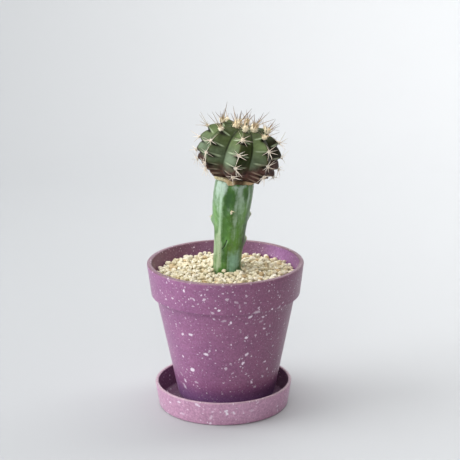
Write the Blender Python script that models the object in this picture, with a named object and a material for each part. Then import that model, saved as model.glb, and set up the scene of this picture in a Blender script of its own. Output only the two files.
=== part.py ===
"""A grafted cactus in a flecked purple pot on its own saucer.

The pot's axis is the Z axis and the saucer stands on z = 0. The viewer of the front looks
along +Y. Lengths in the functions are in millimetres, and each mesh is scaled to metres once,
when its object is made.
"""
import math
import random

import bmesh
import bpy
from mathutils import Matrix, Vector
from mathutils.geometry import delaunay_2d_cdt

MM = 0.001
GAP = 0.3                      # between two pieces that touch
TURNED_SIDES = 60              # flat sides round the saucer and the pot

# Saucer
SAUCER_X = -2.3                # the saucer stands a little left of the pot's axis
SAUCER_BASE_RADIUS = 48.6
SAUCER_RIM_RADIUS = 51.2
SAUCER_HEIGHT = 18.4
SAUCER_WALL = 2.4
SAUCER_FLOOR = 3.0
SAUCER_LIP_ROUND = 1.0
SAUCER_FOOT_ROUND = 1.4        # outer lower edge
SAUCER_HOLLOW_ROUND = 2.5      # where the inner wall meets the floor
SAUCER_FOOT_WIDTH = 7.0        # flat ring that the saucer stands on
SAUCER_RECESS = 0.8            # how far the middle of its underside is raised

# Pot
POT_HEIGHT = 111.0             # rim above the surface the saucer stands on
POT_RIM_RADIUS = 58.0
POT_WALL = 3.5
COLLAR_LOW = 86.6              # underside of the thick collar
COLLAR_LOW_RADIUS = 55.2
BODY_TOP_RADIUS = 51.7         # where the body meets the collar's underside
BODY_LOW = 11.0                # where the wall ends and the rounded corner starts
BODY_LOW_RADIUS = 36.4
BODY_CORNER = 5.0
POT_UNDERSIDE = 6.0
POT_FLOOR = 9.2
FOOT_OUTER_RADIUS = 30.0
FOOT_INNER_RADIUS = 27.0
DRAIN_RADIUS = 5.0
RIM_ROUND = 1.3
EDGE_ROUND = 1.0               # rim's inner edge and collar's lower edge
POT_HOLLOW_ROUND = 4.0
STEP_ABOVE = 5.0               # the inner step lies this far above the collar's underside
STEP_BELOW = 1.0               # and ends this far below it

# Potting mix and gravel
MIX_TOP = 92.6
GRAVEL_EDGE = 102.3            # height of the gravel at the pot's wall
GRAVEL_MOUND = 3.4             # how much higher it lies round the stem
GRAIN_SPACING = 5.0
GRAIN_RISE = (0.3, 1.3)        # a grain's top above the mean surface
GRAIN_JOINT = 0.8              # the joints between grains below it
GRAIN_STRAY = 1.1              # how far a grain strays from its place in the lattice
GRAIN_CLEAR = 1.8              # least distance from a grain's middle to the stem
GRAVEL_SIDES = 72
EDGE_DIP = 0.5                 # the gravel along wall and stem, below its mean surface

# Rootstock: height, centre along X and half width, from the buried end to the graft
STEM_Y = 3.0
STEM_STATIONS = (
    (84.0, 0.9, 9.6),
    (104.0, 0.9, 10.6),
    (118.0, 2.1, 11.3),
    (134.0, 3.6, 12.4),
    (141.0, 4.1, 13.2),
    (151.0, 4.8, 14.7),
    (162.0, 6.3, 15.0),
    (169.8, 7.5, 14.6),
    (172.6, 8.0, 13.9),
)
STEM_RIBS = {"front": 268.0, "left": 158.0, "right": 22.0}   # degrees round the stem
STEM_TWIST = 0.2               # degrees a millimetre, about the middle of the stem
STEM_MIDDLE = 137.0
STEM_AREOLES = {
    "front": (126.0, 150.0),
    "left": (143.0,),
    "right": (126.5, 145.8),
}
STEM_STRAIGHT = 106.0          # below this the stem is a plain straight prism
STEM_LEAN_START = 125.0        # above this its sections tilt towards the graft's cut
STEM_ROUND = 0.955             # the stem's outline, as shares of its half width
STEM_RIDGE = 0.045             # a rib stands out by this much
STEM_VALLEY = 0.025            # and lies between two shallow valleys
STEM_SHOULDER = (235.0, 0.02)  # direction and height of the front left face's edge
STEM_BUMP = 0.15               # an areole's bump on its rib
STEM_BUMP_SPREAD = 3.6
STEM_STEP = 12                 # degrees between two points of a section
STEM_SPINE = (2.2, 0.3)        # length and radius

# Head: a flattened globe with ribs, leaning to the right
HEAD_CENTRE = Vector((10.4, STEM_Y, 191.2))
HEAD_RADIUS = 30.3
HEAD_HALF_HEIGHT = 22.8
HEAD_LEAN = 14.5
HEAD_TURN = -93.0              # where the front rib points
RIB_TURNS = (0, 45, 95, 137, 180, 222, 264, 313)   # degrees from the front rib
FURROW_DEPTH = 0.21
FLANK_BULGE = 0.018
CROWN_DIMPLE = 3.0
CHIN_HEIGHT = 1.1
AREOLES = (                    # degrees from the crown, down each rib in turn
    (25, 54, 82, 101, 120),
    (12, 35, 63, 88, 105),
    (28, 54, 77, 97, 114),
    (14, 38, 67, 90, 108),
    (25, 54, 82, 101, 118),
    (12, 38, 66, 90, 109),
    (30, 57, 82, 103, 120),
    (13, 41, 71, 92, 110),
)
HEAD_LAST = 152.0              # degrees from the crown, where the skin stops below the cut
SPINE_RADIUS = 0.27            # at the root
SPINE_SINK = 1.0               # how deep a root reaches below the skin
SPINE_LENGTH = (8.0, 10.5)
SPINE_YOUNG = 7.5              # how much longer they are at the crown
SPINE_RISE = 32                # degrees off the skin, and how much steeper at the crown
SPINE_RISE_YOUNG = 42
SPRAY = (-112, -48, 48, 112, 180)   # degrees round an areole, from the way up its rib
AREOLE_WIDTH = 1.4             # and how much wider at the crown
AREOLE_YOUNG = 0.9

# Graft: two parallel cuts, tilted down to the right
GRAFT_TILT = 8.0
HEAD_CUT = 15.8                # below the head's centre
STEM_CUT = 18.8
UNION_RADIUS = 15.0
UNION_LUMP = 0.9
SPINE_CLEAR = (5.2, 3.2)       # spines stay this far above the stem's top or outside the union


def material(name, colour, roughness):
    """A plain Principled material for one sub-part."""
    new = bpy.data.materials.new(name)
    new.use_nodes = True
    shader = new.node_tree.nodes["Principled BSDF"]
    shader.inputs["Base Color"].default_value = (*colour, 1.0)
    shader.inputs["Roughness"].default_value = roughness
    shader.inputs["Metallic"].default_value = 0.0
    new.diffuse_color = (*colour, 1.0)
    return new


def add_object(name, shape, finish, sharp=40.0):
    """Makes an object in metres from a bmesh in millimetres."""
    bmesh.ops.recalc_face_normals(shape, faces=shape.faces)
    bmesh.ops.scale(shape, vec=(MM, MM, MM), verts=shape.verts)
    mesh = bpy.data.meshes.new(name)
    shape.to_mesh(mesh)
    shape.free()
    if finish is not None:
        mesh.materials.append(finish)
    mesh.shade_smooth()
    mesh.set_sharp_from_angle(angle=math.radians(sharp))
    made = bpy.data.objects.new(name, mesh)
    bpy.context.scene.collection.objects.link(made)
    return made


def bend(centre, radius, start, end, steps):
    """Points along an arc of an outline, from start to end in degrees."""
    points = []
    for i in range(steps + 1):
        a = math.radians(start + (end - start) * i / steps)
        points.append((centre[0] + radius * math.cos(a), centre[1] + radius * math.sin(a)))
    return points


def bridge(shape, lower, upper):
    """Joins two rings. A ring of one vertex is a pole."""
    count = max(len(lower), len(upper))
    for i in range(count):
        j = (i + 1) % count
        corners = [lower[i % len(lower)], lower[j % len(lower)],
                   upper[j % len(upper)], upper[i % len(upper)]]
        shape.faces.new(list(dict.fromkeys(corners)))


def turned(outline, segments, centre_x=0.0):
    """Turns an outline of (radius, height) about a vertical axis."""
    shape = bmesh.new()
    rings = []
    for radius, height in outline:
        if radius < 1e-6:
            rings.append([shape.verts.new((centre_x, 0.0, height))])
            continue
        ring = []
        for i in range(segments):
            a = 2 * math.pi * i / segments
            ring.append(shape.verts.new((centre_x + radius * math.cos(a),
                                         radius * math.sin(a), height)))
        rings.append(ring)
    for lower, upper in zip(rings, rings[1:]):
        bridge(shape, lower, upper)
    if len(rings[0]) > 1:
        bridge(shape, rings[-1], rings[0])
    return shape


def body_radius(height):
    """Outer radius of the pot's tapered body at a height."""
    share = (height - BODY_LOW) / (COLLAR_LOW - BODY_LOW)
    return BODY_LOW_RADIUS + share * (BODY_TOP_RADIUS - BODY_LOW_RADIUS)


def inside_radius(height):
    """Inner radius of the pot's collar at a height."""
    low = COLLAR_LOW_RADIUS - POT_WALL
    high = POT_RIM_RADIUS - POT_WALL
    share = (height - COLLAR_LOW) / (POT_HEIGHT - EDGE_ROUND - COLLAR_LOW)
    return low + share * (high - low)


def pot_inside():
    """The pot's inner outline, from the step in the collar down to the floor."""
    step_top = COLLAR_LOW + STEP_ABOVE
    step_low = COLLAR_LOW - STEP_BELOW
    points = [(inside_radius(step_top), step_top), (body_radius(step_low) - POT_WALL, step_low)]
    corner = POT_HOLLOW_ROUND
    centre = (body_radius(POT_FLOOR + corner) - POT_WALL - corner, POT_FLOOR + corner)
    return points + bend(centre, corner, 0, -90, 3)


def make_saucer(finish):
    """A shallow round tray that stands on a flat ring of its underside."""
    lip = SAUCER_LIP_ROUND
    foot = SAUCER_FOOT_ROUND
    hollow = SAUCER_HOLLOW_ROUND
    inner_rim = SAUCER_RIM_RADIUS - SAUCER_WALL
    inner_low = SAUCER_BASE_RADIUS - SAUCER_WALL
    ring_inner = SAUCER_BASE_RADIUS - foot - SAUCER_FOOT_WIDTH
    outline = [(0.0, SAUCER_RECESS), (ring_inner - SAUCER_RECESS, SAUCER_RECESS)]
    outline.append((ring_inner, 0.0))
    outline += bend((SAUCER_BASE_RADIUS - foot, foot), foot, -90, 0, 2)
    top = SAUCER_HEIGHT - lip
    outline += bend((SAUCER_RIM_RADIUS - lip, top), lip, 0, 90, 2)
    outline += bend((inner_rim + lip, top), lip, 90, 180, 2)
    outline += bend((inner_low - hollow, SAUCER_FLOOR + hollow), hollow, 0, -90, 3)
    outline.append((0.0, SAUCER_FLOOR))
    return add_object("saucer", turned(outline, TURNED_SIDES, SAUCER_X), finish)


def make_pot(finish):
    """A tapered pot with a thick collar, a foot ring and a drain hole."""
    foot_low = SAUCER_FLOOR + GAP
    outline = [(FOOT_INNER_RADIUS, POT_UNDERSIDE), (FOOT_INNER_RADIUS, foot_low),
               (FOOT_OUTER_RADIUS, foot_low), (FOOT_OUTER_RADIUS, POT_UNDERSIDE)]
    outline += bend((BODY_LOW_RADIUS - BODY_CORNER, BODY_LOW), BODY_CORNER, -90, -12, 3)
    outline.append((BODY_TOP_RADIUS, COLLAR_LOW))
    edge = EDGE_ROUND
    outline += bend((COLLAR_LOW_RADIUS - edge, COLLAR_LOW + edge), edge, -90, 0, 2)
    top = POT_HEIGHT - RIM_ROUND
    outline += bend((POT_RIM_RADIUS - RIM_ROUND, top), RIM_ROUND, 0, 90, 3)
    inner = POT_RIM_RADIUS - POT_WALL
    outline += bend((inner + edge, POT_HEIGHT - edge), edge, 90, 180, 2)
    outline += pot_inside()
    outline += [(DRAIN_RADIUS, POT_FLOOR), (DRAIN_RADIUS, POT_UNDERSIDE)]
    return add_object("pot", turned(outline, TURNED_SIDES), finish)


def smooth_between(stations, height):
    """Centre and half width of the stem at a height, on a smooth curve."""
    heights = [s[0] for s in stations]
    if height <= heights[0]:
        return stations[0][1:]
    if height >= heights[-1]:
        return stations[-1][1:]
    k = max(i for i, h in enumerate(heights) if h <= height)
    before = stations[max(k - 1, 0)]
    after = stations[min(k + 2, len(stations) - 1)]
    span = heights[k + 1] - heights[k]
    u = (height - heights[k]) / span
    found = []
    for axis in (1, 2):
        p, q = stations[k][axis], stations[k + 1][axis]
        enter = (q - before[axis]) / (heights[k + 1] - before[0]) * span
        leave = (after[axis] - p) / (after[0] - heights[k]) * span
        found.append((2 * u**3 - 3 * u**2 + 1) * p + (u**3 - 2 * u**2 + u) * enter
                     + (3 * u**2 - 2 * u**3) * q + (u**3 - u**2) * leave)
    return found


def turn_between(a, b):
    """Smallest angle between two directions in degrees."""
    return abs((a - b + 180.0) % 360.0 - 180.0)


def stem_share(angle, height):
    """The stem's outline round one section, as a share of its half width."""
    twist = STEM_TWIST * (max(height, STEM_STRAIGHT) - STEM_MIDDLE)
    share = STEM_ROUND
    for name, rib in STEM_RIBS.items():
        away = turn_between(angle, rib + twist)
        ridge = math.exp(-(away / 9.0) ** 2)
        share += STEM_RIDGE * ridge - STEM_VALLEY * math.exp(-((away - 20.0) / 8.0) ** 2)
        for areole in STEM_AREOLES[name]:
            near = math.exp(-((height - areole) / STEM_BUMP_SPREAD) ** 2)
            share += STEM_BUMP * ridge * near
    shoulder, rise = STEM_SHOULDER
    return share + rise * math.exp(-(turn_between(angle, shoulder + twist) / 6.0) ** 2)


def stem_ring(height, clearance=0.0, shrink=1.0):
    """One section of the stem, tilted more and more towards the graft's cut."""
    centre_x, half = smooth_between(STEM_STATIONS, height)
    if height < STEM_STRAIGHT:
        centre_x, half = STEM_STATIONS[1][1:]
    top = STEM_STATIONS[-1][0]
    lean = max(0.0, (height - STEM_LEAN_START) / (top - STEM_LEAN_START))
    tilt = math.radians(GRAFT_TILT) * lean ** 1.5
    points = []
    for angle in range(4, 364, STEM_STEP):
        away = half * shrink * stem_share(angle, height) + clearance
        a = math.radians(angle)
        x, y = away * math.cos(a), away * math.sin(a)
        points.append(Vector((centre_x + x * math.cos(tilt), STEM_Y + y,
                              height - x * math.sin(tilt))))
    return points


def fill_annulus(outer, inner, extra=()):
    """Triangles between two rings in plan, through any extra points, as index triples."""
    flat = [Vector((p[0], p[1])) for p in (*outer, *inner, *extra)]
    n, m = len(outer), len(inner)
    loops = [(i, (i + 1) % n) for i in range(n)]
    loops += [(n + i, n + (i + 1) % m) for i in range(m)]
    coords, _, faces, originals, _, _ = delaunay_2d_cdt(flat, loops, [], 0, 1e-6)
    index = [found[0] for found in originals]
    hole_points = set(range(n, n + m))
    triples = []
    for face in faces:
        corners = [index[k] for k in face]
        if hole_points.issuperset(corners):
            middle = sum((flat[k] for k in corners), Vector((0, 0))) / 3
            if point_in_ring(middle, inner):
                continue
        triples.append(corners)
    return triples


def point_in_ring(point, ring):
    """True where a point in plan lies inside a closed ring."""
    inside = False
    for a, b in zip(ring, ring[1:] + ring[:1]):
        if (a[1] > point[1]) != (b[1] > point[1]):
            cross = a[0] + (point[1] - a[1]) / (b[1] - a[1]) * (b[0] - a[0])
            if point[0] < cross:
                inside = not inside
    return inside


def gravel_height(x, y):
    """Mean height of the gravel, mounded a little round the stem."""
    away = math.hypot(x, y) / inside_radius(GRAVEL_EDGE)
    return GRAVEL_EDGE + GRAVEL_MOUND * max(0.0, 1.0 - away ** 1.5)


def grain_places(hole):
    """Where the grains lie: a jittered triangular lattice clear of wall and stem."""
    rng = random.Random(7)
    limit = inside_radius(GRAVEL_EDGE) - 0.55 * GRAIN_SPACING
    row_step = GRAIN_SPACING * math.sqrt(0.75)
    rows = int(limit / row_step) + 1
    places = []
    for row in range(-rows, rows + 1):
        for column in range(-rows - 1, rows + 2):
            x = (column + 0.5 * (row % 2)) * GRAIN_SPACING
            x += rng.uniform(-GRAIN_STRAY, GRAIN_STRAY)
            y = row * row_step + rng.uniform(-GRAIN_STRAY, GRAIN_STRAY)
            near_hole = min(math.hypot(x - p.x, y - p.y) for p in hole)
            clear = near_hole >= GRAIN_CLEAR and not point_in_ring((x, y), hole)
            if clear and math.hypot(x, y) <= limit:
                places.append((x, y))
    return places


def make_gravel(finish):
    """The top dressing: one bed whose top is a field of separate grain heads."""
    rng = random.Random(11)
    low = MIX_TOP + GAP
    hole = stem_ring(MIX_TOP, clearance=GAP + 0.1)
    top_radius = inside_radius(GRAVEL_EDGE - EDGE_DIP) - GAP
    low_radius = inside_radius(low) - GAP
    outer, outer_low = [], []
    for i in range(GRAVEL_SIDES):
        a = 2 * math.pi * i / GRAVEL_SIDES
        outer.append(Vector((top_radius * math.cos(a), top_radius * math.sin(a), 0)))
        outer_low.append(Vector((low_radius * math.cos(a), low_radius * math.sin(a), low)))
    grains = grain_places(hole)
    first = fill_annulus(outer, hole, grains)
    flat = [Vector(p[:2]) for p in (*outer, *hole, *grains)]
    rings = len(outer) + len(hole)
    joints = []
    for corners in first:
        if max(corners) >= rings:
            joints.append(sum((flat[k] for k in corners), Vector((0, 0))) / 3)
    faces = fill_annulus(outer, hole, [*grains, *joints])
    shape = bmesh.new()
    top = []
    for k, p in enumerate([*flat, *joints]):
        lift = -GRAIN_JOINT
        if k < rings:
            lift = -EDGE_DIP
        elif k < len(flat):
            lift = rng.uniform(*GRAIN_RISE)
        top.append(shape.verts.new((p.x, p.y, gravel_height(p.x, p.y) + lift)))
    base = [shape.verts.new((p.x, p.y, low)) for p in (*outer_low, *hole)]
    for corners in faces:
        shape.faces.new([top[k] for k in corners])
    for corners in fill_annulus(outer, hole):
        shape.faces.new([base[k] for k in reversed(corners)])
    n = len(outer)
    bridge(shape, base[:n], top[:n])
    bridge(shape, base[n:rings], top[n:rings])
    return add_object("gravel", shape, finish, 10.0)


def make_mix(finish):
    """The soil under the gravel, with a plain hole for the stem's buried end."""
    inside = [(r - GAP, z) for r, z in pot_inside()]
    step, wall, *corner = inside
    corner = [(r, z + GAP) for r, z in corner]
    top_radius = inside_radius(MIX_TOP) - GAP
    outline = [(0.0, POT_FLOOR + GAP), *reversed(corner), wall, step,
               (top_radius, MIX_TOP), (0.0, MIX_TOP)]
    mix = add_object("potting_mix", turned(outline, 40), finish)
    centre_x, half = STEM_STATIONS[1][1:]
    half += GAP + 0.2
    depth = 20.0
    hole_low = STEM_STATIONS[0][0] - GAP
    cutter_shape = bmesh.new()
    bmesh.ops.create_cone(cutter_shape, cap_ends=True, segments=32, radius1=half, radius2=half,
                          depth=depth)
    bmesh.ops.translate(cutter_shape, vec=(centre_x, STEM_Y, hole_low + depth / 2),
                        verts=cutter_shape.verts)
    cutter = add_object("stem_hole", cutter_shape, None)
    cutter.hide_render = True
    cutter.display_type = "WIRE"
    cut = mix.modifiers.new("stem hole", "BOOLEAN")
    cut.operation = "DIFFERENCE"
    cut.solver = "EXACT"
    cut.object = cutter
    return mix


def add_spine(root, direction, length, radius, finish):
    """A straight three-sided spine, its root sunk below the skin."""
    shape = bmesh.new()
    sink = SPINE_SINK
    bmesh.ops.create_cone(shape, cap_ends=True, cap_tris=False, segments=3, radius1=radius,
                          radius2=0.0, depth=length + sink)
    bmesh.ops.translate(shape, vec=(0, 0, (length - sink) / 2), verts=shape.verts)
    aim = direction.to_track_quat("Z", "Y").to_matrix().to_4x4()
    bmesh.ops.transform(shape, matrix=Matrix.Translation(root) @ aim, verts=shape.verts)
    return add_object("spine", shape, finish)


def join_all(base, parts):
    """Joins many small solids to a base with one Boolean and removes them."""
    group = bpy.data.collections.new("joined to " + base.name)
    bpy.context.scene.collection.children.link(group)
    for part in parts:
        bpy.context.scene.collection.objects.unlink(part)
        group.objects.link(part)
    union = base.modifiers.new("join", "BOOLEAN")
    union.operation = "UNION"
    union.solver = "EXACT"
    union.operand_type = "COLLECTION"
    union.collection = group
    graph = bpy.context.evaluated_depsgraph_get()
    joined = bpy.data.meshes.new_from_object(base.evaluated_get(graph))
    base.modifiers.remove(union)
    base.data = joined
    for part in parts:
        bpy.data.objects.remove(part)
    bpy.data.collections.remove(group)
    joined.shade_smooth()
    joined.set_sharp_from_angle(angle=math.radians(30.0))
    return base


def make_rootstock(finish):
    """The three-ribbed stem, from its buried end to the tilted graft cut."""
    top = STEM_STATIONS[-1][0]
    heights = {STEM_STATIONS[0][0], STEM_STATIONS[1][0], STEM_STRAIGHT, 111.0, 117.0,
               134.5, 138.5, 157.5, 161.5, 167.5, top}
    for places in STEM_AREOLES.values():
        for place in places:
            heights.update((place - STEM_BUMP_SPREAD, place, place + STEM_BUMP_SPREAD))
    chosen = []
    for height in sorted(heights):
        if not chosen or height - chosen[-1] > 2.2:
            chosen.append(height)
    shape = bmesh.new()
    rings = []
    for height in chosen:
        shrink = 0.97 if height == chosen[-1] else 1.0
        rings.append([shape.verts.new(p) for p in stem_ring(height, shrink=shrink)])
    for lower, upper in zip(rings, rings[1:]):
        bridge(shape, lower, upper)
    shape.faces.new(list(reversed(rings[0])))
    shape.faces.new(rings[-1])
    stem = add_object("rootstock", shape, finish, 50.0)
    rng = random.Random(5)
    spines = []
    for name, rib in STEM_RIBS.items():
        for height in STEM_AREOLES[name]:
            twist = STEM_TWIST * (height - STEM_MIDDLE)
            a = math.radians(rib + twist)
            centre_x, half = smooth_between(STEM_STATIONS, height)
            out = Vector((math.cos(a), math.sin(a), 0))
            side = Vector((-math.sin(a), math.cos(a), 0))
            root = Vector((centre_x, STEM_Y, height)) + out * half * 1.06
            for spread in (-0.8, 0.9):
                aim = out + side * 0.7 * spread + Vector((0, 0, rng.uniform(-0.6, 0.5)))
                spines.append(add_spine(root, aim.normalized(), *STEM_SPINE, finish))
    return join_all(stem, spines)


def head_frame():
    """Turns and places the head: it leans to the right about its own centre."""
    return Matrix.Translation(HEAD_CENTRE) @ Matrix.Rotation(math.radians(HEAD_LEAN), 4, "Y")


def chin(rib, t):
    """Scallops down a rib's crest: full at each areole and notched just below it."""
    places = AREOLES[rib]
    rise = 0.0
    for k, place in enumerate(places):
        after = places[k + 1] if k + 1 < len(places) else place + 20
        if place <= t <= after:
            u = (t - place) / (after - place)
            rise = math.cos(2 * math.pi * u ** 0.75)
    return CHIN_HEIGHT * rise * math.sin(math.radians(min(t, 90.0)))


def head_point(rib, side, t):
    """A point of the head's skin in the head's own frame.

    side runs from -1, the furrow before the rib, over 0, its crest, to 1, the furrow after it.
    t is the angle down from the crown in degrees.
    """
    turns = RIB_TURNS
    crest = turns[rib]
    after = turns[(rib + 1) % 8] + (360 if rib == 7 else 0)
    before = turns[rib - 1] - (360 if rib == 0 else 0)
    reach = (after - crest) / 2 if side > 0 else (crest - before) / 2
    sine = math.sin(math.radians(t))
    cosine = math.cos(math.radians(t))
    depth = FURROW_DEPTH * sine ** 0.8
    half = math.radians(reach)
    turn = abs(side) * half
    floor = 1.0 - depth
    chord = floor * math.sin(half)
    share = chord / (chord * math.cos(turn) - (floor * math.cos(half) - 1.0) * math.sin(turn))
    share += FLANK_BULGE * sine * 4 * abs(side) * (1 - abs(side))
    away = HEAD_RADIUS * sine ** 0.82
    up = HEAD_HALF_HEIGHT * math.copysign(abs(cosine) ** 0.9, cosine)
    up -= CROWN_DIMPLE * math.exp(-(t / 17.0) ** 2)
    swell = 1.0 + chin(rib, t) * (1 - abs(side)) ** 1.5 / HEAD_RADIUS
    a = math.radians(HEAD_TURN + crest) + math.copysign(turn, side)
    return Vector((away * math.cos(a), away * math.sin(a), up)) * share * swell


def areole_frames():
    """Each areole's root, its outward normal, the way up its rib and the way across."""
    place = head_frame()
    for rib, places in enumerate(AREOLES):
        for t in places:
            root = place @ head_point(rib, 0.0, t)
            up = (place @ head_point(rib, 0.0, t - 2.0) - root).normalized()
            a = math.radians(HEAD_TURN + RIB_TURNS[rib])
            across = place.to_3x3() @ Vector((-math.sin(a), math.cos(a), 0))
            yield rib, t, root, across.cross(up).normalized(), up, across


def clear_of_stem(root, aim, length):
    """Bends a spine's direction outwards until it stays clear of the stem and the graft."""
    stem_x = STEM_STATIONS[-1][1]
    above, outside = SPINE_CLEAR
    for _ in range(30):
        crossing = False
        for step in range(1, 7):
            p = root + aim * length * step / 6
            away = Vector((p.x - stem_x, p.y - STEM_Y, 0))
            if p.z < STEM_STATIONS[-1][0] + above and away.length < UNION_RADIUS + outside:
                crossing = True
        if not crossing:
            return aim
        out = Vector((root.x - stem_x, root.y - STEM_Y, 0)).normalized()
        aim = (aim + out * 0.12).normalized()
    return aim


def make_scion(finish):
    """The ribbed head with a cushion and a spray of spines at each areole."""
    place = head_frame()
    sides = (0.0, 0.22, 0.6, 1.0, -0.6, -0.22)
    steps = 24
    shape = bmesh.new()
    rings = [[shape.verts.new(place @ Vector((0, 0, HEAD_HALF_HEIGHT - CROWN_DIMPLE)))]]
    for row in range(1, steps + 1):
        t = HEAD_LAST * row / steps
        ring = []
        for rib in range(8):
            for side in sides[:4]:
                ring.append(place @ head_point(rib, side, t))
            after = (rib + 1) % 8
            for side in sides[4:]:
                ring.append(place @ head_point(after, side, t))
        rings.append([shape.verts.new(p) for p in ring])
    for lower, upper in zip(rings, rings[1:]):
        bridge(shape, lower, upper)
    shape.faces.new(rings[-1])
    tilt = math.radians(GRAFT_TILT)
    normal = Vector((math.sin(tilt), 0, math.cos(tilt)))
    everything = [*shape.verts, *shape.edges, *shape.faces]
    bmesh.ops.bisect_plane(shape, geom=everything, dist=1e-4, plane_co=HEAD_CENTRE
                           - normal * HEAD_CUT, plane_no=-normal, clear_outer=True)
    bmesh.ops.holes_fill(shape, edges=[e for e in shape.edges if e.is_boundary])
    bmesh.ops.triangulate(shape, faces=shape.faces)
    head = add_object("scion", shape, finish, 25.0)
    rng = random.Random(3)
    parts = []
    for rib, t, root, normal, up, across in areole_frames():
        young = max(0.0, 1.0 - t / 60.0)
        wide = AREOLE_WIDTH + AREOLE_YOUNG * young
        cushion = bmesh.new()
        bmesh.ops.create_cone(cushion, cap_ends=True, segments=6, radius1=wide,
                              radius2=0.5 * wide, depth=1.7 + young)
        turn = normal.to_track_quat("Z", "Y").to_matrix().to_4x4()
        bmesh.ops.transform(cushion, matrix=Matrix.Translation(root) @ turn,
                            verts=cushion.verts)
        parts.append(add_object("areole", cushion, finish))
        for angle in SPRAY:
            if t < 20 and abs(angle) > 90:
                continue
            a = math.radians(angle + rng.uniform(-14, 14))
            rise = math.radians(SPINE_RISE + SPINE_RISE_YOUNG * young + rng.uniform(-8, 8))
            flat = up * math.cos(a) + across * math.sin(a)
            aim = flat * math.cos(rise) + normal * math.sin(rise)
            length = rng.uniform(*SPINE_LENGTH) + SPINE_YOUNG * young
            aim = clear_of_stem(root, aim.normalized(), length)
            parts.append(add_spine(root, aim, length, SPINE_RADIUS, finish))
    return join_all(head, parts)


def make_union(finish):
    """The corky ring where stem and head have grown together."""
    tilt = math.radians(GRAFT_TILT)
    place = Matrix.Translation(HEAD_CENTRE) @ Matrix.Rotation(tilt, 4, "Y")
    low = -(STEM_CUT - GAP)
    high = -(HEAD_CUT + GAP)
    shape = bmesh.new()
    rings = [[shape.verts.new(place @ Vector((0, 0, low)))]]
    for share, radius, lump in ((0.0, 0.90, 0.3), (0.3, 0.98, 1.0), (0.7, 1.0, 1.0),
                                (1.0, 0.93, 0.3)):
        ring = []
        for i in range(40):
            a = 2 * math.pi * i / 40
            bulge = math.sin(3 * a + 0.6) + 0.7 * math.sin(7 * a + 2.0 + 3 * share)
            bulge += 0.5 * math.sin(13 * a + 1.0)
            r = UNION_RADIUS * radius + UNION_LUMP * lump * bulge / 2
            z = low + (high - low) * share
            ring.append(shape.verts.new(place @ Vector((r * math.cos(a), r * math.sin(a), z))))
        rings.append(ring)
    rings.append([shape.verts.new(place @ Vector((0, 0, high)))])
    for lower, upper in zip(rings, rings[1:]):
        bridge(shape, lower, upper)
    return add_object("graft_union", shape, finish)


def main():
    """Clears the scene and makes every sub-part."""
    for old in list(bpy.data.objects):
        bpy.data.objects.remove(old)
    make_saucer(material("saucer_plastic", (0.38, 0.19, 0.36), 0.42))
    make_pot(material("pot_plastic", (0.27, 0.12, 0.25), 0.42))
    make_mix(material("soil", (0.05, 0.033, 0.022), 0.95))
    make_gravel(material("cream_gravel", (0.66, 0.57, 0.38), 0.9))
    make_rootstock(material("stem_skin", (0.12, 0.25, 0.08), 0.4))
    make_union(material("callus", (0.45, 0.29, 0.13), 0.8))
    make_scion(material("head_skin", (0.09, 0.12, 0.07), 0.5))


main()
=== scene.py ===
# %% [markdown]
# # A grafted cactus in a flecked pot
# The plant is two plants in one. A ribbed globe, the scion, has grown onto the cut end of a
# green three-ribbed stem, the rootstock. The stem stands in cream gravel, in a purple pot on
# a saucer of its own. The frame loaded here holds each of these pieces as a plain solid at its
# real size. Every step below gives one of them its fine surface and its finish, in its place.

# %% Load the frame
import functools
import math
import random

import bmesh
import bpy
import numpy as np
from mathutils import Matrix, Vector, noise


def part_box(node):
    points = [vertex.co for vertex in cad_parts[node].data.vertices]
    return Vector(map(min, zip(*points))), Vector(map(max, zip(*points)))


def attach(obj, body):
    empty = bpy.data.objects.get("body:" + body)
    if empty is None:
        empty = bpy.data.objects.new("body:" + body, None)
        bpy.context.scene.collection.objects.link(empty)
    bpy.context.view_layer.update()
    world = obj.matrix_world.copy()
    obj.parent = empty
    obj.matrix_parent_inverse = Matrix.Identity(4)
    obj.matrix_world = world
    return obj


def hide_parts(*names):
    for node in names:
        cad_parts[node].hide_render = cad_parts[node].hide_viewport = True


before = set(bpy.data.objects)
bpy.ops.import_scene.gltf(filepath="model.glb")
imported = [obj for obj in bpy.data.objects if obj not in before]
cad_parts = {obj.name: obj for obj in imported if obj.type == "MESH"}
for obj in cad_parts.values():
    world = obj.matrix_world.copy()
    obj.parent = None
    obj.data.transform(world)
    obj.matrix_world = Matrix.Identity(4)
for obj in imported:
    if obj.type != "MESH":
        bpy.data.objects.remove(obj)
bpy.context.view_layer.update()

print("pieces in the frame:", sorted(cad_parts))

# %% [markdown]
# ## The camera
# The picture was taken from a little over a metre away, looking down by about 16 degrees,
# through a long lens. A real camera has a place, a direction and a lens, and so does this one.
# The same values also tell which point of the object a pixel of the 460 by 460 picture shows,
# and that is used further on to lay each large fleck where it belongs.

# %% Camera
MM = 0.001
PICTURE = 460                                  # pixels along each side
CAMERA_PLACE = Vector((0.0036, -1.1155, 0.4517))
LOOK_DOWN = 0.277                              # radians below the horizon
ROLL = -0.00844
LENS, SENSOR = 123.4, 36.0


def placed(name, data):
    """A new object in the scene."""
    made = bpy.data.objects.new(name, data)
    bpy.context.scene.collection.objects.link(made)
    return made


right = Vector((1, 0, 0))
ahead = Vector((0, math.cos(LOOK_DOWN), -math.sin(LOOK_DOWN)))
axes = Matrix((right, right.cross(ahead), -ahead)).transposed().to_4x4()
camera = placed("camera", bpy.data.cameras.new("camera"))
camera.data.lens = LENS
camera.data.sensor_width = SENSOR
camera.data.clip_start = 0.05
camera.matrix_world = Matrix.Translation(CAMERA_PLACE) @ axes @ Matrix.Rotation(ROLL, 4, "Z")
bpy.context.scene.camera = camera


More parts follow.
